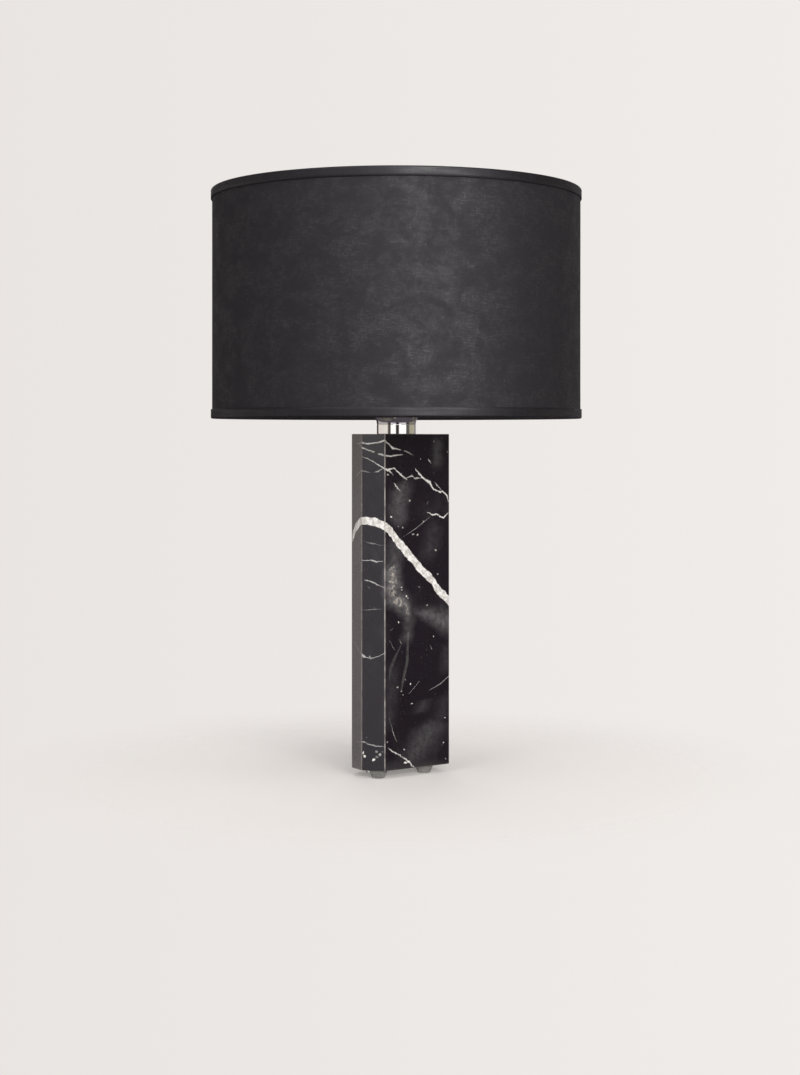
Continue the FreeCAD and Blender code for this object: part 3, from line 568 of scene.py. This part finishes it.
def all_streaks(n, place, w, z):
    soft_w = n.math("ADD", w, centred(n, place, 70.0, 4.0, 9.0))
    soft_z = n.math("ADD", z, centred(n, place, 55.0, 4.0, 9.0))
    streaks = []
    for width, strength, points in STREAKS.values():
        mask = line_mask(n, soft_w, soft_z, width, points, STREAK_CRISP, STREAK_FADE)
        streaks.append(n.math("MULTIPLY", mask, strength))
    return strongest(n, streaks)


def hair_lines(n, place, deep, broken):
    """Fine pale lines on the sides that the photograph doesn't show."""
    hair = n.noise(place, 16.0, 3.0, 0.55, 0.9)
    hair = n.math("ABSOLUTE", n.math("SUBTRACT", hair, 0.5))
    hair = n.ramp(hair, 0.001, 0.0042, 1.0, 0.0)
    patch = n.ramp(n.noise(place, 12.0, 2.0), 0.5, 0.62)
    hair = n.math("MULTIPLY", n.math("MULTIPLY", hair, patch), n.ramp(deep, 0.1, 0.6, 0.0, 0.7))
    return n.math("MULTIPLY", hair, n.ramp(broken, 0.36, 0.55, 0.3, 1.0))


def cloudy_black(n, place, streak, mottle):
    """The black ground with its haze, its soft grey streaks and their bright knots."""
    cloud = n.math("MULTIPLY", streak, n.ramp(mottle, 0.3, 0.72, 0.35, 1.5, smooth=False))
    fine_mottle = n.noise(place, 330.0, 5.0, 0.7)
    knots = n.math("MULTIPLY", n.ramp(streak, 0.5, 0.85), n.ramp(fine_mottle, 0.46, 0.62))
    knots = n.math("MULTIPLY", knots, n.ramp(mottle, 0.35, 0.6, 0.4, 1.0))
    haze = n.noise(n.stretch(place, (1, 1, 0.5)), 24.0, 4.0, 0.6, 0.6)
    specks = n.ramp(n.noise(place, 700.0, 1.0, 0.5), 0.775, 0.81, 0.0, 0.5)
    body = n.mix(n.noise(place, 16.0, 3.0), BLACK_LOW, BLACK_HIGH)
    body = n.mix(n.ramp(haze, 0.5, 0.78, 0.0, 0.3), body, HAZE_GREY)
    body = n.mix(cloud, body, CLOUD_GREY)
    body = n.mix(knots, body, KNOT_CREAM)
    return n.mix(specks, body, SPECK_GREY)


def marble_material():
    material, n = new_material("black_marble_polish")
    place = n.place()
    w, z, deep = block_coordinates(n, place)
    broken = n.noise(place, 300.0, 2.0)
    mottle = n.noise(place, 190.0, 5.0, 0.72)
    veins = thin_veins(n, place, w, z, broken)
    main = main_vein(n, place, w, z)
    spots = all_spots(n, place, w, z)
    hair = hair_lines(n, place, deep, broken)

    body = cloudy_black(n, place, all_streaks(n, place, w, z), mottle)
    body = n.mix(n.math("MAXIMUM", veins, hair), body, VEIN_WHITE)
    grain = n.noise(place, 520.0, 3.0, 0.7)
    calcite = n.mix(n.ramp(mottle, 0.38, 0.6), CALCITE_LOW, CALCITE_HIGH)
    calcite = n.mix(n.ramp(grain, 0.32, 0.42, 0.4, 0.0), calcite, CALCITE_FLAW)
    body = n.mix(main, body, calcite)
    body = n.mix(n.ramp(spots, 0.1, 0.9), body, SPOT_WHITE)
    # Painted shade: the bore and recess walls get a flat dark colour.
    body = n.mix(in_bores(n, place), body, BORE_SHADE)

    # The edges get a lighter grey: worn arrises, and a painted highlight of the light they
    # catch.
    edge = near_column_edges(n, place, EDGE_WEAR_AND_HIGHLIGHT_WIDTH)
    edge_wear_and_highlight = n.math("MULTIPLY", edge, n.ramp(n.noise(place, 95.0, 4.0), 0.35, 0.65, 0.35, 1.0))
    body = n.mix(n.math("MULTIPLY", edge_wear_and_highlight, 0.9), body, EDGE_WEAR_AND_HIGHLIGHT_GREY)
    # The end face on the photo's left is honed and dusty; its lighter grey is also a painted
    # sheen, standing in for the pale room that the face mirrors.
    normal_x, _, _ = n.split(n.new("ShaderNodeNewGeometry").outputs["True Normal"])
    honed_sheen_face = n.ramp(normal_x, -0.95, -0.85, 1.0, 0.0)
    dust = n.ramp(n.noise(place, 900.0, 3.0, 0.7), 0.3, 0.7, 0.55, 1.0)
    dust_and_sheen = n.math("MULTIPLY", n.math("MULTIPLY", honed_sheen_face, dust),
                   n.math("SUBTRACT", 1.0, main))
    body = n.mix(n.math("MULTIPLY", dust_and_sheen, 0.9), body, HONED_SHEEN_GREY)

    rough = n.ramp(n.noise(place, 90.0, 3.0), 0.3, 0.7, 0.06, 0.11)
    rough = n.math("MULTIPLY_ADD", n.math("MAXIMUM", main, veins), 0.08, rough)
    rough = n.math("MULTIPLY_ADD", dust_and_sheen, 0.32, rough)
    pits = n.ramp(n.noise(place, 900.0, 2.0), 0.2, 0.32)
    normal = n.bump(pits, 0.04 * MM, 0.5)
    normal = n.bump(n.noise(place, 30.0, 2.0), 0.02 * MM, 0.4, normal)
    principled(n, Base_Color=body, Roughness=rough, IOR=1.5, Normal=normal)
    return material


# ------------------------------------------------------------------ cloth

CLOTH_PITCH = 0.9 * MM
CLOTH_LOW = rgb(0.0080, 0.0056, 0.0084)
CLOTH_HIGH = rgb(0.0128, 0.0096, 0.0138)
# The gap colour is painted shade between the threads.
CLOTH_GAP_SHADE = rgb(0.004, 0.0030, 0.0042)
SLUB_GREY = rgb(0.060, 0.053, 0.055)
LINT_GREY = rgb(0.13, 0.12, 0.11)
TAPE_PITCH = 0.7 * MM
TAPE_LOW = rgb(0.0085, 0.0062, 0.0088)
TAPE_HIGH = rgb(0.0145, 0.0115, 0.015)
TAPE_WEAR = rgb(0.07, 0.065, 0.067)
LINER_LOW = rgb(0.80, 0.775, 0.73)
LINER_HIGH = rgb(0.86, 0.85, 0.82)


def weave_height(n, place, pitch):
    """Plain weave: over and under in turn, in both directions. place is in metres."""
    u, v, _ = n.split(place)
    warp = n.math("SINE", n.math("MULTIPLY", u, 2 * math.pi / pitch))
    weft = n.math("SINE", n.math("MULTIPLY", v, 2 * math.pi / pitch))
    return n.math("MULTIPLY_ADD", n.math("MULTIPLY", warp, weft), 0.5, 0.5)


def fabric_material():
    material, n = new_material("black_linen")
    place = n.cloth_place()
    weave = weave_height(n, place, CLOTH_PITCH)
    weft = n.noise(n.stretch(place, (130, 620, 1)), 1.0, 3.0, 0.65)
    warp = n.noise(n.stretch(place, (620, 150, 1)), 1.0, 3.0, 0.65)
    grain = n.noise(n.stretch(place, (900, 900, 1)), 1.0, 2.0, 0.6)
    blotch = n.noise(n.stretch(place, (34, 40, 1)), 1.0, 6.0, 0.72, 0.3)
    broad = n.noise(n.stretch(place, (9, 7, 1)), 1.0, 3.0, 0.55)
    slubs = n.math("MAXIMUM", n.ramp(weft, 0.5, 0.68), n.ramp(warp, 0.51, 0.7, 0.0, 0.85))
    slubs = n.math("MULTIPLY", slubs, n.ramp(grain, 0.3, 0.6, 0.45, 1.0))
    slubs = n.math("MULTIPLY", slubs, n.ramp(blotch, 0.43, 0.6, 0.2, 1.0))
    slubs = n.math("MULTIPLY", slubs, n.ramp(broad, 0.35, 0.6, 0.55, 1.0))
    base = n.mix(n.ramp(blotch, 0.38, 0.64), CLOTH_LOW, CLOTH_HIGH)
    base = n.mix(n.math("MULTIPLY", slubs, 0.62), base, SLUB_GREY)
    # Painted shade: the weave's low points are darker, as shade between the threads.
    base = n.mix(n.ramp(weave, 0.2, 0.9, 0.3, 0.0), base, CLOTH_GAP_SHADE)
    lint = n.ramp(n.noise(n.stretch(place, (330, 330, 1)), 1.0, 0.0), 0.9, 0.93)
    base = n.mix(lint, base, LINT_GREY)
    height = n.math("ADD", weave, n.math("MULTIPLY", slubs, 0.9))
    normal = n.bump(height, 0.08 * MM, 0.7)
    normal = n.bump(blotch, 0.1 * MM, 0.4, normal)
    rough = n.math("SUBTRACT", n.ramp(blotch, 0.38, 0.64, 0.73, 0.62),
                   n.math("MULTIPLY", slubs, 0.18))
    principled(
        n,
        Base_Color=base,
        Roughness=rough,
        IOR=1.5,
        Specular_IOR_Level=0.62,
        Normal=normal,
    )
    return material


def tape_material():
    material, n = new_material("black_edge_tape")
    place = n.cloth_place()
    weave = weave_height(n, place, TAPE_PITCH)
    ribs = n.noise(n.stretch(place, (700, 60, 1)), 1.0, 2.0, 0.5)
    wear = n.noise(n.stretch(place, (22, 260, 1)), 1.0, 5.0, 0.7)
    base = n.mix(n.ramp(ribs, 0.4, 0.7), TAPE_LOW, TAPE_HIGH)
    base = n.mix(n.ramp(wear, 0.62, 0.8, 0.0, 0.25), base, TAPE_WEAR)
    normal = n.bump(n.math("ADD", weave, ribs), 0.05 * MM, 0.5)
    rough = n.ramp(wear, 0.36, 0.64, 0.40, 0.58)
    principled(
        n,
        Base_Color=base,
        Roughness=rough,
        IOR=1.5,
        Specular_IOR_Level=0.5,
        Normal=normal,
    )
    return material


def liner_material():
    material, n = new_material("white_liner_sheet")
    place = n.place()
    stain = n.noise(place, 7.0, 4.0)
    grain = n.noise(place, 700.0, 2.0)
    colour = n.mix(n.ramp(stain, 0.3, 0.75), LINER_LOW, LINER_HIGH)
    normal = n.bump(grain, 0.02 * MM, 0.5)
    principled(n, Base_Color=colour, Roughness=n.ramp(stain, 0.3, 0.7, 0.42, 0.55),
               IOR=1.5, Normal=normal)
    return material


# ------------------------------------------------------------------ metals and plastics

# By slot: the material's name, its darker and lighter colour, its lowest and highest
# roughness, and for a metal how far its scratches are stretched upwards.
METALS = {
    "polished_chrome": ("chrome", (0.72, 0.71, 0.69), (0.82, 0.81, 0.79), 0.02, 0.05, 0.2),
    "zinc_steel": ("zinc", (0.42, 0.42, 0.41), (0.58, 0.58, 0.56), 0.25, 0.45, 1.0),
    "nickel": ("nickel", (0.55, 0.53, 0.5), (0.68, 0.66, 0.62), 0.18, 0.34, 0.3),
    "brass": ("brass", (0.55, 0.4, 0.17), (0.76, 0.58, 0.28), 0.2, 0.38, 1.0),
    "bulb_alloy": ("alloy", (0.6, 0.59, 0.56), (0.76, 0.75, 0.72), 0.25, 0.4, 1.0),
    "filament_wire": ("tungsten", (0.2, 0.2, 0.2), (0.35, 0.34, 0.33), 0.35, 0.5, 1.0),
}
PLASTICS = {
    "black_plastic": ("black_plastic", (0.012, 0.012, 0.012), (0.03, 0.03, 0.03), 0.35, 0.5),
    "phenolic": ("phenolic", (0.03, 0.02, 0.014), (0.07, 0.045, 0.03), 0.3, 0.45),
    "fibre_sleeve": ("fibre", (0.34, 0.26, 0.18), (0.5, 0.4, 0.28), 0.7, 0.85),
    "painted_wire": ("white_enamel", (0.74, 0.73, 0.7), (0.84, 0.83, 0.81), 0.28, 0.4),
}
# By slot: name, tint, roughness, ripple in millimetres, and how much light goes through.
CLEARS = {
    "clear_bumper": ("clear_bumper", (0.93, 0.92, 0.88), 0.08, 0.05, 0.85),
    "bulb_glass": ("bulb_glass", (0.96, 0.97, 0.96), 0.01, 0.01, 1.0),
}
CLEAR_HIGH = rgb(0.95, 0.95, 0.94)


def metal_material(name, dark, light, rough_low, rough_high, scratch_scale):
    material, n = new_material(name)
    place = n.place()
    cloud = n.noise(place, 55.0, 4.0, 0.6)
    scratch = n.noise(n.stretch(place, (1, 1, scratch_scale)), 420.0, 3.0, 0.6)
    colour = n.mix(n.ramp(cloud, 0.3, 0.7), rgb(*dark), rgb(*light))
    rough = n.ramp(n.math("ADD", cloud, n.math("MULTIPLY", scratch, 0.5)), 0.5, 1.0,
                   rough_low, rough_high)
    normal = n.bump(scratch, 0.01 * MM, 0.35)
    principled(n, Base_Color=colour, Roughness=rough, Metallic=1.0, Normal=normal)
    return material


def plastic_material(name, dark, light, rough_low, rough_high):
    material, n = new_material(name)
    place = n.place()
    cloud = n.noise(place, 70.0, 3.0)
    grain = n.noise(place, 600.0, 2.0)
    colour = n.mix(n.ramp(cloud, 0.3, 0.7), rgb(*dark), rgb(*light))
    normal = n.bump(grain, 0.03 * MM, 0.4)
    principled(n, Base_Color=colour, Roughness=n.ramp(cloud, 0.3, 0.7, rough_low, rough_high),
               IOR=1.5, Normal=normal)
    return material


def clear_material(name, tint, rough, ripple, clear):
    material, n = new_material(name)
    place = n.place()
    haze = n.noise(place, 120.0, 3.0)
    colour = n.mix(n.ramp(haze, 0.3, 0.8), rgb(*tint), CLEAR_HIGH)
    normal = n.bump(n.noise(place, 160.0, 2.0), ripple * MM, 0.4)
    principled(n, Base_Color=colour, Roughness=n.ramp(haze, 0.3, 0.8, rough, rough * 2),
               IOR=1.49, Transmission_Weight=clear, Normal=normal)
    return material


# ------------------------------------------------------------------ meshes


def new_object(name, mesh, material, body):
    piece = bpy.data.objects.new(name, mesh)
    bpy.context.collection.objects.link(piece)
    mesh.materials.append(material)
    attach(piece, body)
    return piece


def ring_section(name, profile, segments, material, body, ripple=None, smooth_angle=35.0):
    """Sweeps a closed profile of (r, z) round the Z axis, with a cloth UV map in metres."""
    count = len(profile)
    lengths = [0.0]
    for (ra, za), (rb, zb) in zip(profile, profile[1:] + profile[:1]):
        lengths.append(lengths[-1] + math.hypot(rb - ra, zb - za))
    vertices = []
    for i in range(segments):
        angle = 2 * math.pi * i / segments
        for r, z in profile:
            if ripple is not None:
                r, z = ripple(angle, r, z)
            vertices.append((r * math.cos(angle), r * math.sin(angle), z))
    faces = []
    for i in range(segments):
        a, b = i * count, ((i + 1) % segments) * count
        for j in range(count):
            k = (j + 1) % count
            faces.append((a + j, b + j, b + k, a + k))
    mesh = bpy.data.meshes.new(name)
    mesh.from_pydata(vertices, [], faces)
    mean_r = sum(r for r, _ in profile) / count
    uv = mesh.uv_layers.new(name="cloth")
    step = 2 * math.pi * mean_r / segments
    at = 0
    for i in range(segments):
        for j in range(count):
            corners = ((i, j), (i + 1, j), (i + 1, j + 1), (i, j + 1))
            for turn, along in corners:
                uv.data[at].uv = (turn * step, lengths[along])
                at += 1
    mesh.update()
    for polygon in mesh.polygons:
        polygon.use_smooth = True
    mesh.set_sharp_from_angle(angle=math.radians(smooth_angle))
    return new_object(name, mesh, material, body)


def spaced(low, high, count):
    return [low + (high - low) * i / count for i in range(count + 1)]


SEAM_ANGLE = CAMERA_AZIMUTH + math.pi / 2
SEAM_HALF_WIDTH = 5.0 * MM
SEAM_LIFT = 0.12 * MM
CLOTH_INSET = 0.25 * MM
CLOTH_THICKNESS = 0.3 * MM
CLOTH_LEVELS = 36
SHADE_SEGMENTS = 512


def seam_lift(angle, radius):
    """How far the lapped seam stands out, at the back of the shade."""
    away = abs((angle - SEAM_ANGLE + math.pi) % (2 * math.pi) - math.pi) * radius
    return SEAM_LIFT if away < SEAM_HALF_WIDTH else 0.0


def shade_fabric(material):
    outer = fabric_high.x - CLOTH_INSET
    inner = outer - CLOTH_THICKNESS
    low, high = fabric_low.z, fabric_high.z
    levels = spaced(low, high, CLOTH_LEVELS)
    profile = [(outer, z) for z in levels] + [(inner, z) for z in reversed(levels)]

    def ripple(angle, r, z):
        if r < (outer + inner) / 2:
            return r, z
        spot = Vector((3 * math.cos(angle), 3 * math.sin(angle), z * 9))
        swell = 0.09 * MM * noise.noise(spot)
        crease = 0.05 * MM * noise.noise(spot * 5)
        return r + swell + crease + seam_lift(angle, r), z

    piece = ring_section("fabric_skin", profile, SHADE_SEGMENTS, material, "shade", ripple)
    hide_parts("shade_fabric")


TAPE_LEG = 10.0 * MM
TAPE_INSIDE_LEG = 8.0 * MM
TAPE_FOLD = 6.15 * MM
TAPE_FOLD_RADIUS = 1.6 * MM
TAPE_THICKNESS = 0.6 * MM
TAPE_WEB = 0.8 * MM


def make_tape(name, node, edge, inward, material):
    """A tape folded over the shade's rim at z = edge; inward is 1 or -1, into the shade."""
    outer = shade_high.x
    leg_inner = fabric_high.x + 0.05 * MM
    fold_outer = outer - TAPE_FOLD
    fold_inner = fold_outer + TAPE_THICKNESS
    turn, leg, inside_leg, web = TAPE_FOLD_RADIUS, TAPE_LEG, TAPE_INSIDE_LEG, TAPE_WEB

    def level(height):
        return edge + inward * height

    arc = [math.radians(a) for a in (0, 22.5, 45, 67.5, 90)]
    outside = [(outer - 0.25 * MM, level(leg)), (outer, level(leg - 0.3 * MM))]
    outside += [(outer - 0.05 * MM, level(h * MM)) for h in (7.0, 4.5, 3.0)]
    outside += [
        (outer - turn + turn * math.cos(a), level(turn - turn * math.sin(a))) for a in arc
    ]
    outside += [
        (fold_outer + turn * 0.5 - turn * 0.5 * math.sin(a),
         level(turn * 0.5 - turn * 0.5 * math.cos(a)))
        for a in arc
    ]
    outside += [(fold_outer, level(4 * MM)), (fold_outer, level(inside_leg))]
    inside = [
        (fold_inner, level(inside_leg)),
        (fold_inner, level(web)),
        (leg_inner, level(web)),
        (leg_inner, level(leg)),
    ]
    profile = outside + inside

    def ripple(angle, r, z):
        spot = Vector((14 * math.cos(angle), 14 * math.sin(angle), edge * 20))
        if r < leg_inner + 0.02 * MM:
            return r, z
        edge_wobble = 0.0
        if abs(z - level(leg)) < 0.5 * MM:
            edge_wobble = 0.18 * MM * noise.noise(spot)
        return r + 0.04 * MM * noise.noise(spot * 3) - 0.05 * MM, z + edge_wobble

    piece = ring_section(name, profile, SHADE_SEGMENTS, material, "shade", ripple, 50.0)
    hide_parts(node)


NECK_SEGMENTS = 192


def lathe_piece(name, node, profile, material, body):
    piece = ring_section(name, profile, NECK_SEGMENTS, material, body, None, 30.0)
    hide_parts(node)


# ------------------------------------------------------------------ stage

BACKDROP = (0.838, 0.806, 0.783)
FLOOR_COLOUR = (0.62, 0.585, 0.558)
FLOOR_GLOW = 0.28
FLOOR_RADIUS = 9.0
FLOOR_SEGMENTS = 96
FLOOR_NEAR, FLOOR_FAR = 0.1, 0.5
MIRRORED_NEAR, MIRRORED_FAR = 0.06, 0.14


def make_floor():
    """A pale floor that keeps the shadow near the lamp and runs into the backdrop."""
    mesh = bpy.data.meshes.new("floor")
    shape = bmesh.new()
    bmesh.ops.create_circle(shape, cap_ends=True, radius=FLOOR_RADIUS,
                            segments=FLOOR_SEGMENTS)
    shape.to_mesh(mesh)
    shape.free()
    floor = bpy.data.objects.new("floor", mesh)
    bpy.context.collection.objects.link(floor)
    material, n = new_material("pale_floor")
    distance = n.new("ShaderNodeVectorMath", operation="LENGTH")
    n.feed(distance.inputs[0], n.place())
    path = n.new("ShaderNodeLightPath")
    glossy = path.outputs["Is Glossy Ray"]
    below = n.new("ShaderNodeNewGeometry").outputs["Backfacing"]
    viewed = n.math("MAXIMUM", path.outputs["Is Camera Ray"],
                    path.outputs["Is Transmission Ray"])
    far = n.math("MULTIPLY", viewed,
                 n.ramp(distance.outputs["Value"], FLOOR_NEAR, FLOOR_FAR))
    mirrored_far = n.math("MULTIPLY", glossy, n.ramp(distance.outputs["Value"],
                                                     MIRRORED_NEAR, MIRRORED_FAR))
    lit = n.new("ShaderNodeBsdfDiffuse")
    lit.inputs["Color"].default_value = rgb(*FLOOR_COLOUR)
    glow = n.new("ShaderNodeEmission")
    glow.inputs["Color"].default_value = rgb(*BACKDROP)
    n.feed(glow.inputs["Strength"],
           n.math("MULTIPLY", n.math("MAXIMUM", viewed, glossy), FLOOR_GLOW))
    near = n.new("ShaderNodeAddShader")
    n.feed(near.inputs[0], lit.outputs[0])
    n.feed(near.inputs[1], glow.outputs[0])
    open_air = n.new("ShaderNodeBsdfTransparent")
    blend = n.new("ShaderNodeMixShader")
    n.feed(blend.inputs[0], n.math("MAXIMUM", below, n.math("MAXIMUM", far, mirrored_far)))
    n.feed(blend.inputs[1], near.outputs[0])
    n.feed(blend.inputs[2], open_air.outputs[0])
    output = n.new("ShaderNodeOutputMaterial")
    n.feed(output.inputs["Surface"], blend.outputs[0])
    mesh.materials.append(material)


# What polished pieces mirror at eye level, by the angle from the camera's side: windows,
# the darker room between them and the pale walls.
ROOM = [
    (-180, (0.07, 0.06, 0.055)),
    (-137, (0.08, 0.065, 0.06)),
    (-126, (0.90, 0.84, 0.79)),
    (-54, (0.92, 0.87, 0.82)),
    (-48, (0.12, 0.10, 0.085)),
    (-35, (0.10, 0.08, 0.07)),
    (-31, (1.4, 1.38, 1.36)),
    (-4, (1.4, 1.38, 1.36)),
    (-1, (0.05, 0.045, 0.045)),
    (14, (0.06, 0.055, 0.055)),
    (19, (1.45, 1.43, 1.41)),
    (57, (1.45, 1.43, 1.41)),
    (63, (0.13, 0.12, 0.115)),
    (79, (0.14, 0.13, 0.12)),
    (88, (0.48, 0.44, 0.33)),
    (126, (0.50, 0.46, 0.35)),
    (135, (0.33, 0.31, 0.32)),
    (180, (0.28, 0.26, 0.27)),
]
# Below eye level the windows end at their sills, and the room is dimmer.
SILL_LIGHT = rgb(0.56, 0.545, 0.59)
WALL = rgb(0.46, 0.44, 0.44)
ROOM_FRONT = rgb(0.05, 0.045, 0.055)
LOWER_ROOM = rgb(0.09, 0.08, 0.095)
AMBIENT = 0.24
# Heights of the mirrored room's parts, as the upward share of a direction.
SILL = (-0.014, -0.002)
WINDOW_TOPS = (0.05, 0.14)
FLOOR_LINE = (-0.3, -0.2)
# The backdrop's colour on the photo's left and right.
PALE_LEFT = rgb(0.80, 0.765, 0.74)
PALE_RIGHT = rgb(0.885, 0.855, 0.83)


def make_world():
    world = bpy.data.worlds.new("studio")
    bpy.context.scene.world = world
    n = Nodes(world)
    direction = n.new("ShaderNodeTexCoord").outputs["Generated"]
    dx, dy, dz = n.split(direction)

    def along(vector):
        return n.math("ADD", n.math("MULTIPLY", dx, vector.x),
                      n.math("MULTIPLY", dy, vector.y))

    forward = along(to_camera)
    side = along(camera_right)
    turn = n.math("ARCTAN2", side, forward)
    ramp = n.new("ShaderNodeValToRGB")
    n.feed(ramp.inputs[0], n.math("MULTIPLY_ADD", turn, 0.5 / math.pi, 0.5))
    stops = ramp.color_ramp.elements
    stops[0].position = 0.0
    stops[0].color = rgb(*ROOM[0][1])
    stops[1].position = 1.0
    stops[1].color = rgb(*ROOM[-1][1])
    for angle, colour in ROOM[1:-1]:
        stops.new(angle / 360.0 + 0.5).color = rgb(*colour)
    upper = n.mix(n.ramp(forward, -0.95, -0.6), WALL, ROOM_FRONT)
    sill = n.mix(n.ramp(dz, *SILL), SILL_LIGHT, rgb(1, 1, 1))
    eye_level = n.mix(1.0, ramp.outputs["Color"], sill, "MULTIPLY")
    mirrored = n.mix(n.ramp(dz, *WINDOW_TOPS), eye_level, upper)
    mirrored = n.mix(n.ramp(dz, *FLOOR_LINE), LOWER_ROOM, mirrored)

    path = n.new("ShaderNodeLightPath")
    seen = n.math("MAXIMUM", path.outputs["Is Camera Ray"],
                  path.outputs["Is Transmission Ray"])
    ambient = rgb(AMBIENT, AMBIENT, AMBIENT)
    colour = n.mix(path.outputs["Is Glossy Ray"], ambient, mirrored)
    pale = n.mix(n.ramp(side, -0.35, 0.35, smooth=False), PALE_LEFT, PALE_RIGHT)
    colour = n.mix(seen, colour, pale)
    background = n.new("ShaderNodeBackground")
    n.feed(background.inputs["Color"], colour)
    output = n.new("ShaderNodeOutputWorld")
    n.feed(output.inputs["Surface"], background.outputs[0])


# Each light's name, its angle to the right of the camera and its elevation in degrees, its
# width and height in metres, and its power in watts.
SOFTBOXES = [
    ("right_window", 20.0, 15.0, 1.9, 1.1, 68.0),
    ("left_window", -40.0, 30.0, 1.2, 1.2, 12.0),
    ("ceiling_window", 10.0, 74.0, 2.0, 2.0, 38.0),
    ("back_window", 185.0, 42.0, 1.4, 1.0, 16.0),
]
SOFTBOX_DISTANCE = 3.0


def make_softbox(name, side_angle, elevation, width, height, power):
    """A soft light that faces the middle of the shade."""
    data = bpy.data.lights.new(name, "AREA")
    data.shape = "RECTANGLE"
    data.size = width
    data.size_y = height
    data.energy = power
    light = bpy.data.objects.new(name, data)
    bpy.context.collection.objects.link(light)
    turn, rise = math.radians(side_angle), math.radians(elevation)
    level = to_camera * math.cos(turn) + camera_right * math.sin(turn)
    direction = level * math.cos(rise) + Vector((0, 0, math.sin(rise)))
    target = Vector((0, 0, (shade_low.z + shade_high.z) / 2))
    light.location = target + direction * SOFTBOX_DISTANCE
    light.rotation_euler = direction.to_track_quat("Z", "Y").to_euler()
    light.visible_camera = False


# ------------------------------------------------------------------ the lamp


def dress_cad_nodes():
    """Gives every CAD piece the material of its slot. Returns the materials by slot."""
    by_slot = {slot: metal_material(*values) for slot, values in METALS.items()}
    by_slot.update((slot, plastic_material(*values)) for slot, values in PLASTICS.items())
    by_slot.update((slot, clear_material(*values)) for slot, values in CLEARS.items())
    by_slot["black_marble"] = marble_material()
    by_slot["white_liner"] = liner_material()
    by_slot["black_fabric"] = fabric_material()
    by_slot["black_tape"] = tape_material()
    for part in frame["record"]["subparts"]:
        cad = frame["nodes"][part["node"]]
        for slot in cad.material_slots:
            slot.material = by_slot[part["material_slot"]]
    return by_slot


FLARE_HEIGHT = 7.3 * MM
FLARE_STEPS = 10
NECK_WALL = 1.2 * MM
NECK_EASE = 0.35 * MM
CUP_SHOULDER = 4.0 * MM
CUP_BORE = 4.9 * MM


def make_neck(chrome):
    """The straight neck tube, and the cup that flares out above it."""
    tube_low, tube_high = (Vector(c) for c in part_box("neck_tube"))
    radius, wall, ease = tube_high.x, NECK_WALL, NECK_EASE
    lathe_piece(
        "neck_sleeve", "neck_tube",
        [
            (radius - wall, tube_low.z), (radius - ease, tube_low.z),
            (radius, tube_low.z + ease), (radius, tube_high.z - ease),
            (radius - ease * 0.6, tube_high.z), (radius - wall, tube_high.z),
        ],
        chrome, "root",
    )
    cup_low, cup_high = (Vector(c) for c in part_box("neck_cup"))
    cup_radius = cup_high.x
    rise, run = FLARE_HEIGHT, cup_radius - radius
    flare_top = cup_low.z + rise
    shoulder = CUP_SHOULDER
    arc = [math.radians(a) for a in (0, 15, 30, 45, 60, 75, 90)]
    flare_arc = (rise * rise + run * run) / (2 * run)
    sweep = math.asin(rise / flare_arc)
    outside = [
        (radius + flare_arc * (1 - math.cos(sweep * i / FLARE_STEPS)),
         cup_low.z + flare_arc * math.sin(sweep * i / FLARE_STEPS))
        for i in range(FLARE_STEPS + 1)
    ]
    outside += [
        (cup_radius - shoulder + shoulder * math.cos(a),
         cup_high.z - shoulder + shoulder * math.sin(a))
        for a in arc
    ]
    inside = [
        (CUP_BORE, cup_high.z), (CUP_BORE, cup_high.z - wall),
        (cup_radius - shoulder, cup_high.z - wall),
        (cup_radius - wall, cup_high.z - shoulder),
        (cup_radius - wall, flare_top), (radius - wall, cup_low.z),
    ]
    lathe_piece("neck_flare", "neck_cup", outside + inside, chrome, "root")


def main():
    make_camera()
    bpy.context.scene.view_settings.view_transform = "Standard"
    make_world()
    make_floor()
    for values in SOFTBOXES:
        make_softbox(*values)
    by_slot = dress_cad_nodes()
    shade_fabric(by_slot["black_fabric"])
    make_tape("top_tape", "top_trim", shade_high.z, -1, by_slot["black_tape"])
    make_tape("bottom_tape", "bottom_trim", shade_low.z, 1, by_slot["black_tape"])
    make_neck(by_slot["polished_chrome"])


main()
